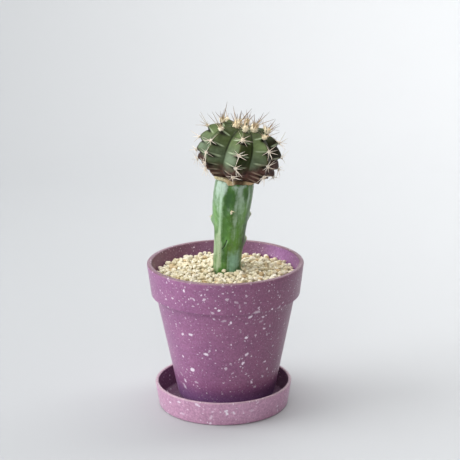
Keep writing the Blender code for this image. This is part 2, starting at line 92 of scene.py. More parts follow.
def view_ray(x, y):
    """The direction in which the camera sees a pixel of the picture."""
    across = (x / PICTURE - 0.5) * SENSOR / LENS
    up = (0.5 - y / PICTURE) * SENSOR / LENS
    return (camera.matrix_world.to_3x3() @ Vector((across, up, -1.0))).normalized()


print("camera looks along", [round(c, 3) for c in view_ray(230, 230)])

# %% [markdown]
# ## Gathering points and faces
# A spine, a grain and a tuft are small meshes that come in hundreds. One object for each would
# be slow, and particles would be lost when the model leaves Blender. So a small class gathers
# the points and faces of many bodies, with named values for each point, and makes one mesh of
# them. A loft joins rows of points, each row a closed ring, and is all that turned, grown and
# tapering shapes need.

# %% Shape, which gathers one piece
class Shape:
    """Points, faces and named point values of one piece, in millimetres."""

    def __init__(self):
        self.points = []
        self.faces = []
        self.values = {}

    def add(self, points, faces, **values):
        """Adds one body. A value is one number for the body or one for each point."""
        first = len(self.points)
        self.points.extend(points)
        self.faces.extend(tuple(k + first for k in face) for face in faces)
        for name, value in values.items():
            many = value if hasattr(value, "__len__") else [value] * len(points)
            self.values.setdefault(name, []).extend(many)

    def loft(self, rings, closed=False, **values):
        """Adds a skin over rings of points. A ring of one point is a pole."""
        points, starts = [], []
        for ring in rings:
            starts.append(len(points))
            points.extend(ring)
        faces = []
        for low in range(len(rings) - (0 if closed else 1)):
            high = (low + 1) % len(rings)
            n, m = len(rings[low]), len(rings[high])
            for i in range(max(n, m)):
                j = (i + 1) % max(n, m)
                corners = (starts[low] + i % n, starts[low] + j % n,
                           starts[high] + j % m, starts[high] + i % m)
                faces.append(tuple(dict.fromkeys(corners)))
        self.add(points, faces, **values)

    def make(self, name, finish, slot, node, sharp=None):
        """Turns what was gathered into a mesh object that rides with the model."""
        mesh = bpy.data.meshes.new(name)
        mesh.from_pydata((np.array(self.points, float).reshape(-1, 3) * MM).tolist(), [], self.faces)
        for key, value in self.values.items():
            layer = mesh.attributes.new(key, "FLOAT", "POINT")
            layer.data.foreach_set("value", np.array(value, dtype=np.float32))
        mesh.materials.append(finish)
        mesh.validate()
        mesh.shade_smooth()
        if sharp is not None:
            mesh.set_sharp_from_angle(angle=math.radians(sharp))
        made = placed(name, mesh)
        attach(made, "root")
        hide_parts(node)
        print(f"{name}: {sum(len(face) - 2 for face in self.faces)} triangles")
        return made

# %% [markdown]
# ## Building materials in code
# A finish is a tree of shader nodes. Placing and joining nodes one by one takes many lines and
# hides the sum that they do. So a field stands for what a node puts out, and fields are added,
# multiplied, ramped and mixed like numbers, each time with a new node. Effects that several
# finishes share become node groups. They put out colours, masks and normals only, and the
# Principled shader itself always stays in the material.

# %% Fields, which stand for what a node puts out
class Field:
    """What a shader node puts out. Fields are added and multiplied as numbers are."""

    def __init__(self, tree, socket):
        self.tree = tree
        self.socket = socket

    def __getitem__(self, name):
        """Another output of the same node."""
        return Field(self.tree, self.socket.node.outputs[name])

    def math(self, operation, *others):
        """One sum on this field and others."""
        return self.tree.add("Math", dict(enumerate((self, *others))), operation=operation)

    def vector(self, operation, *others):
        """One sum on vectors."""
        return self.tree.add("VectorMath", dict(enumerate((self, *others))), operation=operation)

    def __add__(self, other):
        return self.math("ADD", other)

    def __sub__(self, other):
        return self.math("SUBTRACT", other)

    def __mul__(self, other):
        return self.math("MULTIPLY", other)

    def ramp(self, low, high, to_low=0.0, to_high=1.0):
        """A soft step from to_low to to_high as the value goes from low to high."""
        inputs = {"Value": self, "From Min": low, "From Max": high,
                  "To Min": to_low, "To Max": to_high}
        return self.tree.add("MapRange", inputs, interpolation_type="SMOOTHSTEP")

    def mix(self, first, second):
        """Mixes two colours, with this field as the share of the second."""
        return self.tree.mixed(self, first, second, "MIX")

    def times(self, other):
        """This colour multiplied by another."""
        return self.tree.mixed(1.0, self, other, "MULTIPLY")


def feed(socket, value):
    """Joins an input to a field, or sets its plain value."""
    if isinstance(value, Field):
        socket.id_data.links.new(value.socket, socket)
    else:
        socket.default_value = (*value, 1.0) if socket.type == "RGBA" else value

# %% Trees of nodes
class Tree:
    """A tree of shader nodes, with a short way to add each node that is used often."""

    def __init__(self, tree):
        self.tree = tree

    @functools.cached_property
    def place(self):
        """The point on the surface, in the object's own space."""
        return self.add("TexCoord")["Object"]

    def add(self, kind, inputs=None, **settings):
        """Adds a node and gives its first output."""
        made = self.tree.nodes.new("ShaderNode" + kind)
        for key, value in settings.items():
            setattr(made, key, value)
        for key, value in (inputs or {}).items():
            feed(made.inputs[key], value)
        return Field(self, made.outputs[0])

    def mixed(self, share, first, second, blend):
        """One colour mixed into another."""
        return self.add("Mix", {0: share, 6: first, 7: second}, data_type="RGBA",
                        blend_type=blend)[2]

    def value(self, name):
        """A named point value of the mesh."""
        return self.add("Attribute", attribute_name=name)["Fac"]

    def axis(self, name):
        """One coordinate, in metres."""
        return self.add("SeparateXYZ", {0: self.place})[name]

    def noise(self, scale, detail, at=None):
        """A soft noise over the surface."""
        return self.add("TexNoise", {"Vector": at or self.place, "Scale": scale, "Detail": detail})

    def strayed(self, scale, detail, reach):
        """The place of each point, shifted a little by noise, which makes edges ragged."""
        wobble = self.noise(scale, detail)["Color"].vector("SUBTRACT", (0.5, 0.5, 0.5))
        shift = self.add("VectorMath", {0: wobble, "Scale": reach}, operation="SCALE")
        return self.place.vector("ADD", shift)

    def effect(self, group, *values):
        """Places a node group, with its inputs in their order."""
        return self.add("Group", dict(enumerate(values)), node_tree=group)

# %% Groups and finishes
class Group(Tree):
    """A node group. Its inputs are named with their plain values, and None is a colour."""

    def __init__(self, name, **inputs):
        tree = bpy.data.node_groups.new(name, "ShaderNodeTree")
        for key, plain in inputs.items():
            kind = "NodeSocketColor" if plain is None else "NodeSocketFloat"
            socket = tree.interface.new_socket(key, in_out="INPUT", socket_type=kind)
            if plain is not None:
                socket.default_value = plain
        super().__init__(tree)
        self.given = Field(self, tree.nodes.new("NodeGroupInput").outputs[0])

    def give(self, **outputs):
        """Names what the group puts out."""
        kinds = {"VALUE": "NodeSocketFloat", "RGBA": "NodeSocketColor",
                 "VECTOR": "NodeSocketVector"}
        for key, field in outputs.items():
            self.tree.interface.new_socket(key, in_out="OUTPUT",
                                           socket_type=kinds[field.socket.type])
        end = self.tree.nodes.new("NodeGroupOutput")
        for key, field in outputs.items():
            feed(end.inputs[key], field)
        return self.tree


class Finish(Tree):
    """A material: its tree, and the Principled shader that the tree feeds."""

    def __init__(self, name, **plain):
        self.made = bpy.data.materials.new(name)
        self.made.use_nodes = True
        super().__init__(self.made.node_tree)
        self.inputs = self.tree.nodes["Principled BSDF"].inputs
        for key, value in plain.items():
            self.inputs[key.replace("_", " ").title().replace("Ior", "IOR")].default_value = value

    def done(self, colour, relief, roughness=None):
        """Joins what was mixed to the shader, and gives the material."""
        feed(self.inputs["Base Color"], colour)
        feed(self.inputs["Normal"], relief)
        if roughness:
            feed(self.inputs["Roughness"], roughness)
        return self.made

# %% [markdown]
# ## Effects that finishes share
# Nothing that grew or was moulded has one flat colour. "uneven" wanders between two colours
# with a soft noise in the object's own space, so it stays put from every side. "relief" makes
# a fine bumpy normal for pores and grain. "chips" scatters separate little flakes through the
# solid, each turned its own way, and shows those that the surface cuts.

# %% Shared effects
def make_uneven():
    """Wanders between two colours over the surface."""
    group = Group("uneven", One=None, Other=None, Scale=200.0, Contrast=0.2)
    given = group.given
    wander = group.add("TexNoise", {"Vector": group.place, "Scale": given["Scale"],
                                    "Detail": 5.0, "Roughness": 0.6})
    share = wander.ramp(given["Contrast"] * -1.0 + 0.5, given["Contrast"] + 0.5)
    return group.give(Colour=share.mix(given["One"], given["Other"]))


def make_relief():
    """A fine bumpy surface: two sizes of noise, given as a normal."""
    group = Group("relief", Scale=800.0, Fine=0.4, Strength=0.5, Depth=0.0002)
    given = group.given
    coarse, fine = group.noise(given["Scale"], 3.0), group.noise(given["Scale"] * 4.0, 2.0)
    height = fine * given["Fine"] + coarse
    bump = group.add("Bump", {"Height": height, "Strength": given["Strength"],
                              "Distance": given["Depth"]})
    return group.give(Normal=bump, Height=height)


def make_chips():
    """Flakes scattered through a solid, each of its own size and turned its own way."""
    group = Group("chips", Spacing=0.005, Size=0.0006, Share=0.5, Length=2.0, Seed=0.0)
    given = group.given
    seeded = group.strayed(1400.0, 2.0, 0.0009).vector("ADD", given["Seed"])
    inverse = group.add("Math", {0: 1.0, 1: given["Spacing"]}, operation="DIVIDE")
    cells = group.add("TexVoronoi", {"Vector": seeded, "Scale": inverse, "Randomness": 0.9})
    lot = group.add("SeparateColor", {0: cells["Color"]})
    turned = group.add("VectorRotate", {
        "Vector": seeded.vector("SUBTRACT", cells["Position"]),
        "Axis": cells["Color"].vector("SUBTRACT", (0.5, 0.5, 0.5)), "Angle": lot[0] * 6.283})
    stretch = group.add("CombineXYZ", {0: 1.0, 1: given["Length"], 2: given["Length"]})
    away = turned.vector("MULTIPLY", stretch).vector("LENGTH")["Value"]
    reach = lot[1].ramp(0.0, 1.0, 0.35, 1.3) * given["Size"]
    present = lot[2].math("LESS_THAN", given["Share"])
    return group.give(Mask=away.ramp(reach * 0.6, reach, 1.0, 0.0) * present
                      * lot[0].ramp(0.0, 1.0, 0.35, 1.0))


UNEVEN = make_uneven()
RELIEF = make_relief()
CHIPS = make_chips()
print("shared effects:", [group.name for group in (UNEVEN, RELIEF, CHIPS)])

# %% [markdown]
# ## The saucer and the pot as shapes
# Both are moulded round pieces, so an outline turned about an axis gives them exactly. The
# lathe's radii and heights come from the solids in the frame. Compared with the solids, the
# rims, edges and corners are rounded in fine steps and the wall has three times the sides.

# %% Sizes of pot and saucer
TURNED_SIDES = 216
saucer_low, saucer_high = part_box("saucer")
pot_low, pot_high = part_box("pot")
SAUCER_X = (saucer_low.x + saucer_high.x) / 2 / MM
SAUCER_RIM = (saucer_high.x - saucer_low.x) / 2 / MM
SAUCER_BASE = SAUCER_RIM - 2.6
SAUCER_HEIGHT = saucer_high.z / MM
SAUCER_WALL = 2.4
SAUCER_FLOOR = 3.0
SAUCER_FOOT = 7.0                              # width of the flat ring that it stands on
SAUCER_RECESS = 0.8

POT_RIM = pot_high.x / MM
POT_HEIGHT = pot_high.z / MM
POT_WALL = 3.5
POT_FOOT_LOW = pot_low.z / MM
POT_UNDERSIDE = POT_FOOT_LOW + 2.7
POT_FLOOR = POT_UNDERSIDE + 3.2
FOOT_OUTER, FOOT_INNER, DRAIN = 30.0, 27.0, 5.0
COLLAR_LOW = POT_HEIGHT - 24.4                 # underside of the thick collar
COLLAR_LOW_RADIUS = POT_RIM - 2.8
BODY_TOP_RADIUS = POT_RIM - 6.3
BODY_LOW, BODY_LOW_RADIUS, BODY_CORNER = 11.0, 36.4, 5.0
INNER_EDGE, INNER_CORNER = 1.0, 4.0


def body_radius(height):
    """Outer radius of the pot's tapered body."""
    share = (height - BODY_LOW) / (COLLAR_LOW - BODY_LOW)
    return BODY_LOW_RADIUS + share * (BODY_TOP_RADIUS - BODY_LOW_RADIUS)


def collar_radius(height):
    """Outer radius of the pot's collar."""
    share = (height - COLLAR_LOW) / (POT_HEIGHT - COLLAR_LOW)
    return COLLAR_LOW_RADIUS + share * (POT_RIM - COLLAR_LOW_RADIUS)


def inside_radius(height):
    """Inner radius of the pot's collar."""
    share = (height - COLLAR_LOW) / (POT_HEIGHT - INNER_EDGE - COLLAR_LOW)
    low = COLLAR_LOW_RADIUS - POT_WALL
    return low + share * (POT_RIM - POT_WALL - low)


def pot_radius(height):
    """Outer radius of the whole pot."""
    return collar_radius(height) if height > COLLAR_LOW else body_radius(height)


def saucer_radius(height):
    """Outer radius of the saucer's wall."""
    return SAUCER_BASE + (SAUCER_RIM - SAUCER_BASE) * height / SAUCER_HEIGHT

# %% Outlines of saucer and pot
def ring_of(radius, height, sides, centre_x=0.0):
    """A level circle of points, or one point where the radius is nothing."""
    if radius < 1e-6:
        return [(centre_x, 0.0, height)]
    turns = [2 * math.pi * i / sides for i in range(sides)]
    return [(centre_x + radius * math.cos(a), radius * math.sin(a), height) for a in turns]


def bend(centre, radius, start, end, steps):
    """Points along an arc of an outline, from start to end in degrees."""
    turns = [math.radians(start + (end - start) * i / steps) for i in range(steps + 1)]
    return [(centre[0] + radius * math.cos(a), centre[1] + radius * math.sin(a)) for a in turns]


def straight(start, end, steps):
    """Points between two ends of an outline, both left out."""
    return [(start[0] + (end[0] - start[0]) * i / steps,
             start[1] + (end[1] - start[1]) * i / steps) for i in range(1, steps)]


def saucer_outline():
    """The saucer's outline, from the middle of its underside to the middle of its floor."""
    foot, lip, hollow = 1.4, 1.0, 2.5
    inner_rim, inner_low = SAUCER_RIM - SAUCER_WALL, SAUCER_BASE - SAUCER_WALL
    ring_inner = SAUCER_BASE - foot - SAUCER_FOOT
    outline = [(0.0, SAUCER_RECESS), (ring_inner - SAUCER_RECESS, SAUCER_RECESS)]
    outline.append((ring_inner, 0.0))
    outline += bend((SAUCER_BASE - foot, foot), foot, -90, 0, 8)
    top = SAUCER_HEIGHT - lip
    outline += bend((SAUCER_RIM - lip, top), lip, 0, 90, 7)
    outline += bend((inner_rim + lip, top), lip, 90, 180, 7)
    outline += bend((inner_low - hollow, SAUCER_FLOOR + hollow), hollow, 0, -90, 8)
    outline.append((0.0, SAUCER_FLOOR))
    return outline


def pot_outline():
    """The pot's outline, a closed loop from the foot ring round the rim to the drain hole."""
    rim, edge, lower_edge = 1.3, INNER_EDGE, 1.0
    outline = [(FOOT_INNER, POT_UNDERSIDE), (FOOT_INNER, POT_FOOT_LOW),
               (FOOT_OUTER, POT_FOOT_LOW), (FOOT_OUTER, POT_UNDERSIDE)]
    outline += bend((BODY_LOW_RADIUS - BODY_CORNER, BODY_LOW), BODY_CORNER, -90, -11, 10)
    outline += straight(outline[-1], (BODY_TOP_RADIUS, COLLAR_LOW), 12)
    outline += [(BODY_TOP_RADIUS, COLLAR_LOW - 0.4), (BODY_TOP_RADIUS + 0.3, COLLAR_LOW)]
    outline += bend((COLLAR_LOW_RADIUS - lower_edge, COLLAR_LOW + lower_edge), lower_edge,
                    -90, 0, 6)
    top = POT_HEIGHT - rim
    outline += straight(outline[-1], (POT_RIM, top), 5)
    outline += bend((POT_RIM - rim, top), rim, 0, 90, 8)
    inner = POT_RIM - POT_WALL
    outline += bend((inner + edge, POT_HEIGHT - edge), edge, 90, 180, 6)
    step_top, step_low = COLLAR_LOW + 5.0, COLLAR_LOW - 1.0
    outline += [(inside_radius(step_top), step_top), (body_radius(step_low) - POT_WALL, step_low)]
    floor = POT_FLOOR + INNER_CORNER
    outline += bend((body_radius(floor) - POT_WALL - INNER_CORNER, floor), INNER_CORNER,
                    0, -90, 6)
    outline += [(DRAIN, POT_FLOOR), (DRAIN, POT_UNDERSIDE)]
    return outline


def turned(outline, centre_x=0.0, closed=False):
    """A shape turned from an outline of radius and height, with its inner side marked."""
    crown = max(range(len(outline)), key=lambda k: outline[k][1])
    rings = [ring_of(r, z, TURNED_SIDES, centre_x) for r, z in outline]
    inside = [float(k > crown) for k, ring in enumerate(rings) for _ in ring]
    shape = Shape()
    shape.loft(rings, closed, inside=inside)
    return shape


print("pot rim", round(2 * POT_RIM, 1), "mm, saucer", round(2 * SAUCER_RIM, 1), "mm across")

# %% [markdown]
# ## Flecked plastic
# Pot and saucer are moulded from purple plastic with pale flakes stirred into it: a few large
# ones, more small ones and a dust of tiny ones. Painting them on an image would give flat dots,
# and flakes as meshes would stand proud. So the small ones come from the "chips" group, which
# cuts scattered flakes with the surface. The large ones on the front are set one by one, because
# the eye finds them first. Each is a soft ellipse, drawn as a gardener draws one with a string
# round two pins: the two distances to the pins add up to its length. The lists give the pixel
# of the picture, the length and width in millimetres, the turn in degrees and the strength.

# %% Large flecks, set one by one
COLLAR_FLECKS = (
    (184.1, 290.7, 1.6, 2.1, 0, 1), (193.8, 299.2, 2.6, 0.9, -60, 1), (191.2, 298.3, 1.8, 0.7, 15, 0.6),
    (201.3, 295.2, 1.3, 1, 0, 0.8), (204, 299.8, 2.4, 1.1, 35, 0.7), (166.1, 299.1, 1.9, 0.9, 20, 0.5),
    (172.4, 298.4, 1.8, 1.2, 0, 0.6), (168, 307.2, 1.4, 1.2, 0, 0.5), (182.5, 304.6, 0.9, 1.6, 10, 0.5),
    (193.1, 306.3, 1.9, 1, 0, 0.5), (207.3, 289.8, 1.6, 1.2, 0, 0.35), (215.6, 308.1, 1.4, 1.1, 0, 0.8),
    (219.1, 310.7, 1.7, 1.7, 0, 1), (212.8, 313, 2.6, 0.9, -20, 0.7), (223, 286.2, 2.3, 0.8, -25, 0.8),
    (245.7, 290.7, 0.9, 1.7, 0, 0.45), (247, 296.1, 1, 1.6, -15, 0.5), (234.6, 295.2, 1.3, 0.9, 0, 0.35),
    (227.2, 299.3, 2.4, 1.4, 20, 0.45), (215.6, 300.7, 1, 0.8, 0, 0.4), (236.4, 302.6, 2.6, 1, -20, 0.45),
    (245.2, 303, 1.9, 0.9, 10, 0.5), (240.6, 311.4, 0.8, 1.4, 0, 0.7), (239.6, 306.7, 0.8, 2.4, 0, 0.35),
    (258.6, 307.7, 1.5, 1.1, 20, 0.5), (256.8, 312.3, 4.2, 1.1, 5, 0.6), (272, 308.9, 1.5, 1.3, 0, 0.9),
    (279, 307.7, 2.8, 0.7, 55, 0.7), (283.1, 302.6, 1.7, 0.8, 20, 0.6), (285.4, 305.4, 1.8, 0.8, 40, 0.6),
    (281.3, 309.2, 1.1, 0.8, 0, 0.6), (268.8, 291, 0.8, 1.5, 10, 0.45), (278, 295.2, 1.1, 0.7, -20, 0.5),
    (160.2, 290.2, 0.9, 1.5, 0, 0.5), (169, 280.3, 2.4, 0.8, -25, 0.6), (166.8, 282.6, 1.2, 1.4, 0, 0.5),
)
BODY_FLECKS = (
    (190.6, 334.5, 3, 1.5, 0, 1), (182.8, 334, 2.2, 1.6, 30, 0.7), (246.1, 337.5, 2.3, 1.5, 5, 1),
    (250.3, 316.9, 2.8, 1.2, 30, 0.95), (213.7, 319, 2, 0.9, -40, 0.7), (223.9, 321.1, 3.2, 0.9, 10, 0.5),
    (230.9, 322.7, 1.9, 1.3, -60, 0.85), (239.2, 319, 0.9, 1, 0, 0.9), (233.2, 328.3, 1.1, 0.8, 0, 0.4),
    (262.8, 316.9, 2.1, 1.2, -10, 0.7), (266, 315.1, 1.3, 0.9, 0, 0.6), (260.9, 321.1, 3, 0.9, 20, 0.5),
    (264.2, 323.9, 1.4, 1, 40, 0.6), (264.2, 328.4, 2.2, 1.2, 0, 0.75), (269.7, 325.7, 0.8, 2, 10, 0.5),
    (266.9, 334, 0.9, 2, 10, 0.45), (255.4, 335, 1.7, 0.9, 40, 0.55), (185.5, 317.8, 0.8, 1.6, 15, 0.5),
    (180, 323.1, 1.1, 0.8, 0, 0.6), (220.7, 335.4, 1.4, 0.8, 0, 0.45), (231.1, 344.7, 1, 1.1, 0, 0.7),
    (272.5, 345.6, 1.5, 1, 60, 0.6), (206.2, 354.1, 3.2, 1.6, -5, 1), (209.6, 350.9, 2.6, 0.7, 55, 0.7),
    (197.6, 354.4, 1.1, 0.9, 0, 0.45), (183.2, 356.2, 1.4, 1.4, 0, 0.7), (246.6, 354.4, 2.8, 1.3, 50, 1),
    (251.2, 356.2, 1.4, 0.8, 30, 0.55), (239.6, 359.2, 1.5, 0.9, 40, 0.7),
    (242.9, 363.2, 2.2, 1.6, 60, 0.95), (240.6, 366.6, 1.1, 0.8, 40, 0.6),
    (264.2, 361.6, 2.1, 1.1, 10, 0.75), (266.9, 368.7, 1.3, 1.9, 0, 0.6),
    (272.5, 371.5, 1.3, 1.2, 0, 0.55), (192.5, 369.7, 3.4, 2.4, 10, 1), (186.9, 369.2, 1.1, 1, 0, 0.5),
    (230.4, 363.6, 1.3, 0.9, 0, 0.45), (225.8, 368.3, 1.4, 2.6, 0, 0.55), (232.7, 372.9, 2, 1.1, 40, 0.45),
    (246.1, 373.8, 1.6, 0.9, 40, 0.6), (181.8, 373.8, 2.8, 0.7, -60, 0.65),
    (178.6, 375.4, 2.4, 0.7, -60, 0.55), (185.5, 380.3, 3, 1.4, -50, 0.9),
    (185.1, 385.6, 4.2, 0.9, -52, 0.9), (190.6, 375.4, 1.1, 0.8, 0, 0.45),
    (196.6, 382.1, 2.9, 0.8, -15, 0.75), (251.2, 381.7, 1.4, 2.4, 15, 0.7),
    (254.9, 386.6, 2.3, 0.8, 0, 0.6), (262.3, 376.1, 2.1, 1, -40, 0.5), (265, 384.9, 2.2, 0.7, 20, 0.45),
    (272.5, 377.5, 0.8, 1.3, 0, 0.5), (176.8, 346, 1.2, 0.9, 0, 0.4),
)
SAUCER_FLECKS = (
    (170.3, 402.3, 2, 1.5, 0, 0.75), (179, 402, 2.8, 1.2, 10, 0.7), (197.6, 405, 3.6, 1.1, -30, 0.95),
    (168, 413.1, 2, 1.3, -20, 0.8), (182.8, 413.6, 3.2, 1.2, 0, 0.4), (226, 411, 2.6, 1.4, 20, 1),
    (226.9, 413.6, 2.2, 1.5, -50, 0.95), (233.6, 412.7, 2.6, 1, -60, 0.9),
    (212.4, 411.7, 2.1, 0.9, 10, 0.5), (211, 417.3, 3.6, 0.9, 65, 0.65), (210.5, 423.6, 2.2, 1.3, 80, 0.6),
    (257.2, 402.5, 2.2, 0.9, 20, 0.6), (255.8, 406.2, 1.3, 0.9, 0, 0.6), (251.7, 410.6, 3.2, 0.8, 0, 0.4),
    (277.1, 406.2, 1.5, 1.5, 0, 0.55), (277.6, 410.2, 1.2, 2.1, 0, 0.55), (286.8, 396, 1, 2.6, 10, 0.6),
    (248, 422.8, 1.9, 0.9, 10, 0.45), (161.9, 404.3, 1, 2.6, 0, 0.6), (215.1, 409, 1.8, 0.7, 30, 0.4),
)

# %% Masks of the flecks
FLECK_GROWTH = 1.2                             # the picture's softness hides a fleck's edge


def seen(x, y, near, step, meets):
    """The point, in millimetres, where a pixel's ray first meets a surface."""
    aim = view_ray(x, y)
    for i in range(1000):
        p = CAMERA_PLACE / MM + aim * (near + step * i)
        if meets(p):
            return p
    raise ValueError(f"no surface at pixel {x}, {y}")


def fleck_masks(place, flecks, radius_at, centre_x):
    """One mask after another, each a fleck with two pins and a string round them."""
    rise = Vector((0, 0, 1))
    for x, y, long, wide, turn, strength in flecks:
        long, wide, strength = long * FLECK_GROWTH, wide * FLECK_GROWTH, min(1.0, strength + 0.1)
        centre = seen(x, y, 950.0, 0.5,
                      lambda p: math.hypot(p.x - centre_x, p.y) <= radius_at(p.z))
        across = rise.cross(Vector((centre.x - centre_x, centre.y, 0)).normalized())
        if wide > long:
            long, wide, turn = wide, long, turn + 90
        a = math.radians(turn)
        pin = (across * math.cos(a) + rise * math.sin(a)) * math.sqrt(long ** 2 - wide ** 2) / 2
        first, other = (place.vector("DISTANCE", spot * MM)["Value"]
                        for spot in (centre - pin, centre + pin))
        yield (first + other).ramp(0.85 * long * MM, 1.2 * long * MM, strength, 0.0)


print("flecks set by hand:", len(COLLAR_FLECKS) + len(BODY_FLECKS) + len(SAUCER_FLECKS))

# %% [markdown]
# The plastic under the flecks is a satin purple, and light and shade are painted into its hue:
# the pot is painted lighter on the left and darker to the right, and darker and bluer at its foot,
# a painted shadow and reflection of the saucer. The insides of pot and saucer are painted darker,
# and the pot's inner wall lighter on the right, painted shade and light. The rims are greyer. It
# is finely mottled and has a moulded grain, so its shine spreads. The flecks lie in the plastic,
# not on it, so they change its colour and hardly its shine. Their edges are made ragged by
# shifting the place that each point is looked up at.

# %% Flecked plastic
FLECK_COLOUR = (0.93, 0.82, 0.93)
RAGGED = 0.0020                                # twice how far a fleck's edge strays, in metres
LARGE_CHIPS = ((0.0085, 0.0016, 0.5, 3.1), (0.0045, 0.0008, 0.4, 7.7))   # behind, where none is set
SMALL_CHIPS = ((0.0024, 0.00078, 0.62, 0.85, 1.3), (0.0012, 0.00038, 0.6, 0.50, 5.9))


def pot_light_and_tints(plastic, base):
    """The pot's colour with painted light and shade: painted lighter on the left and darker to the right,
    a painted shadow and reflection of the saucer at the foot, painted shade inside, and duller on the rim.
    """
    x, z = plastic.axis("X"), plastic.axis("Z")
    # painted light and shade: lighter and cooler on the left, darker and warmer on the right
    base = base.times(x.ramp(-0.050, 0.050).mix((1.16, 1.10, 1.15), (0.84, 0.70, 0.68)))
    # painted shadow and painted reflection of the saucer: darker and bluer near the foot
    base = z.ramp(0.012, 0.027, 0.85, 0.0).mix(base, (0.245, 0.120, 0.300))
    # painted light and shade on the inner wall: darker than the outside, darker on the left and lighter on
    # the right
    inner_wall_light = x.ramp(-0.038, -0.012).mix((0.205, 0.090, 0.145), (0.26, 0.12, 0.225))
    inner_wall_light = x.ramp(0.026, 0.042).mix(inner_wall_light, (0.37, 0.17, 0.38))
    base = plastic.value("inside").mix(base, inner_wall_light)
    rim = z.ramp(POT_HEIGHT * MM - 0.0012, POT_HEIGHT * MM - 0.0004)
    return rim.mix(base, (0.235, 0.130, 0.165))


def saucer_shade_and_tints(plastic, base):
    """The saucer's painted shade and tint: darker inside, a painted shade, and greyer on the rim."""
    # painted shade: the inside of the saucer darker
    base = plastic.value("inside").mix(base, (0.185, 0.080, 0.150))
    rim = plastic.axis("Z").ramp(SAUCER_HEIGHT * MM - 0.0010, SAUCER_HEIGHT * MM - 0.0004)
    return rim.mix(base, (0.52, 0.36, 0.42))


def flecked_plastic(name, light, dark, chip_share, flecks, radius_at, centre_x, tints_with_painted_light):
    """Satin moulded plastic with pale flakes in it."""
    plastic = Finish(name, roughness=0.36, ior=1.5)
    base = tints_with_painted_light(plastic, plastic.effect(UNEVEN, dark, light, 55.0, 0.3))
    base = base.times(plastic.effect(UNEVEN, (0.80, 0.75, 0.80), (1.10, 1.10, 1.10), 620.0, 0.2))
    masks = fleck_masks(plastic.strayed(900.0, 3.0, RAGGED), flecks, radius_at, centre_x)
    mask = next(masks)
    for found in masks:
        mask = mask.math("MAXIMUM", found)
    behind = plastic.axis("Y").ramp(-0.020, -0.004)
    for spacing, size, share, seed in LARGE_CHIPS:
        found = plastic.effect(CHIPS, spacing, size, share, 2.0, seed) * behind
        mask = mask.math("MAXIMUM", found)
    for spacing, size, share, strength, seed in SMALL_CHIPS:
        found = plastic.effect(CHIPS, spacing, size, share * chip_share, 1.6, seed) * strength
        mask = mask.math("MAXIMUM", found)
    return plastic.done(mask.mix(base, FLECK_COLOUR),
                        plastic.effect(RELIEF, 1500.0, 0.3, 0.12, 0.0001),
                        mask.ramp(0.0, 1.0, 0.36, 0.5))

# %% Pot and saucer
pot_plastic = flecked_plastic(
    "pot_plastic", (0.345, 0.150, 0.285), (0.285, 0.118, 0.245), 1.0,
    COLLAR_FLECKS + BODY_FLECKS, pot_radius, 0.0, pot_light_and_tints)
saucer_plastic = flecked_plastic(
    "saucer_plastic", (0.65, 0.370, 0.53), (0.53, 0.285, 0.42), 1.2,
    SAUCER_FLECKS, saucer_radius, SAUCER_X, saucer_shade_and_tints)
turned(pot_outline(), closed=True).make("pot", pot_plastic, "pot_plastic", "pot", 35)
turned(saucer_outline(), SAUCER_X).make("saucer", saucer_plastic, "saucer_plastic", "saucer", 35)

# %% [markdown]
# ## The rootstock
# The stem is another cactus, grown only to carry the globe. Its section is a plump triangle
# with a rib at each corner, and on the ribs sit small areoles, the cushions that spines grow
# from. The solid's own rule for the outline is repeated here in finer steps. New are the shallow
# dents of the skin, an old scar, and values for the waxy bloom and for fresh growth: where the
# bloom lies, the skin looks pale and bluish, and where it is rubbed off, deep green.

# %% Outline of the stem
STEM_Y = 3.0
STEM_STATIONS = (                              # height, centre along X, half width
    (84.0, 0.9, 9.6), (104.0, 0.9, 10.6), (118.0, 2.1, 11.3), (134.0, 3.6, 12.4),
    (141.0, 4.1, 13.2), (151.0, 4.8, 14.7), (162.0, 6.3, 15.0), (169.8, 7.5, 14.6),
    (172.6, 8.0, 13.9))
STEM_RIBS = {"front": 268.0, "left": 158.0, "right": 22.0}
STEM_AREOLES = {"front": (126.0, 150.0), "left": (140.4,), "right": (124.8, 143.6)}
STEM_SWELLING = {"front": 0.13, "left": 0.18, "right": 0.14}   # share of the half width
STEM_TWIST, STEM_MIDDLE, STEM_STRAIGHT, STEM_LEAN_START = 0.2, 137.0, 106.0, 125.0
STEM_SHOULDER = 235.0
STEM_TOP = STEM_STATIONS[-1][0]
GRAFT_TILT = math.radians(8.0)                 # how far the cut tilts to the right


def level(angle, radius=1.0, height=0.0):
    """A point at an angle in radians round the upright axis."""
    return Vector((radius * math.cos(angle), radius * math.sin(angle), height))


def hill(gap, width):
    """1 where the gap is nothing, falling softly to 0 over about twice the width."""
    return math.exp(-(gap / width) ** 2)


def stem_middle(height):
    """Centre along X and half width of the stem, on a smooth curve."""
    if height < STEM_STRAIGHT:
        return STEM_STATIONS[1][1:]
    heights = [s[0] for s in STEM_STATIONS]
    k = min(max(i for i, h in enumerate(heights) if h <= height), len(heights) - 2)
    before, after = STEM_STATIONS[k - 1], STEM_STATIONS[min(k + 2, len(heights) - 1)]
    span = heights[k + 1] - heights[k]
    u = (height - heights[k]) / span
    found = []
    for axis in (1, 2):
        p, q = STEM_STATIONS[k][axis], STEM_STATIONS[k + 1][axis]
        enter = (q - before[axis]) / (heights[k + 1] - before[0]) * span
        leave = (after[axis] - p) / (after[0] - heights[k]) * span
        found.append((2 * u**3 - 3 * u**2 + 1) * p + (u**3 - 2 * u**2 + u) * enter
                     + (3 * u**2 - 2 * u**3) * q + (u**3 - u**2) * leave)
    return found


def turn_between(a, b):
    """Smallest angle between two directions in degrees, with its sign."""
    return (a - b + 180.0) % 360.0 - 180.0


def stem_twist(height):
    """How far the ribs have turned at a height."""
    return STEM_TWIST * (max(height, STEM_STRAIGHT) - STEM_MIDDLE)


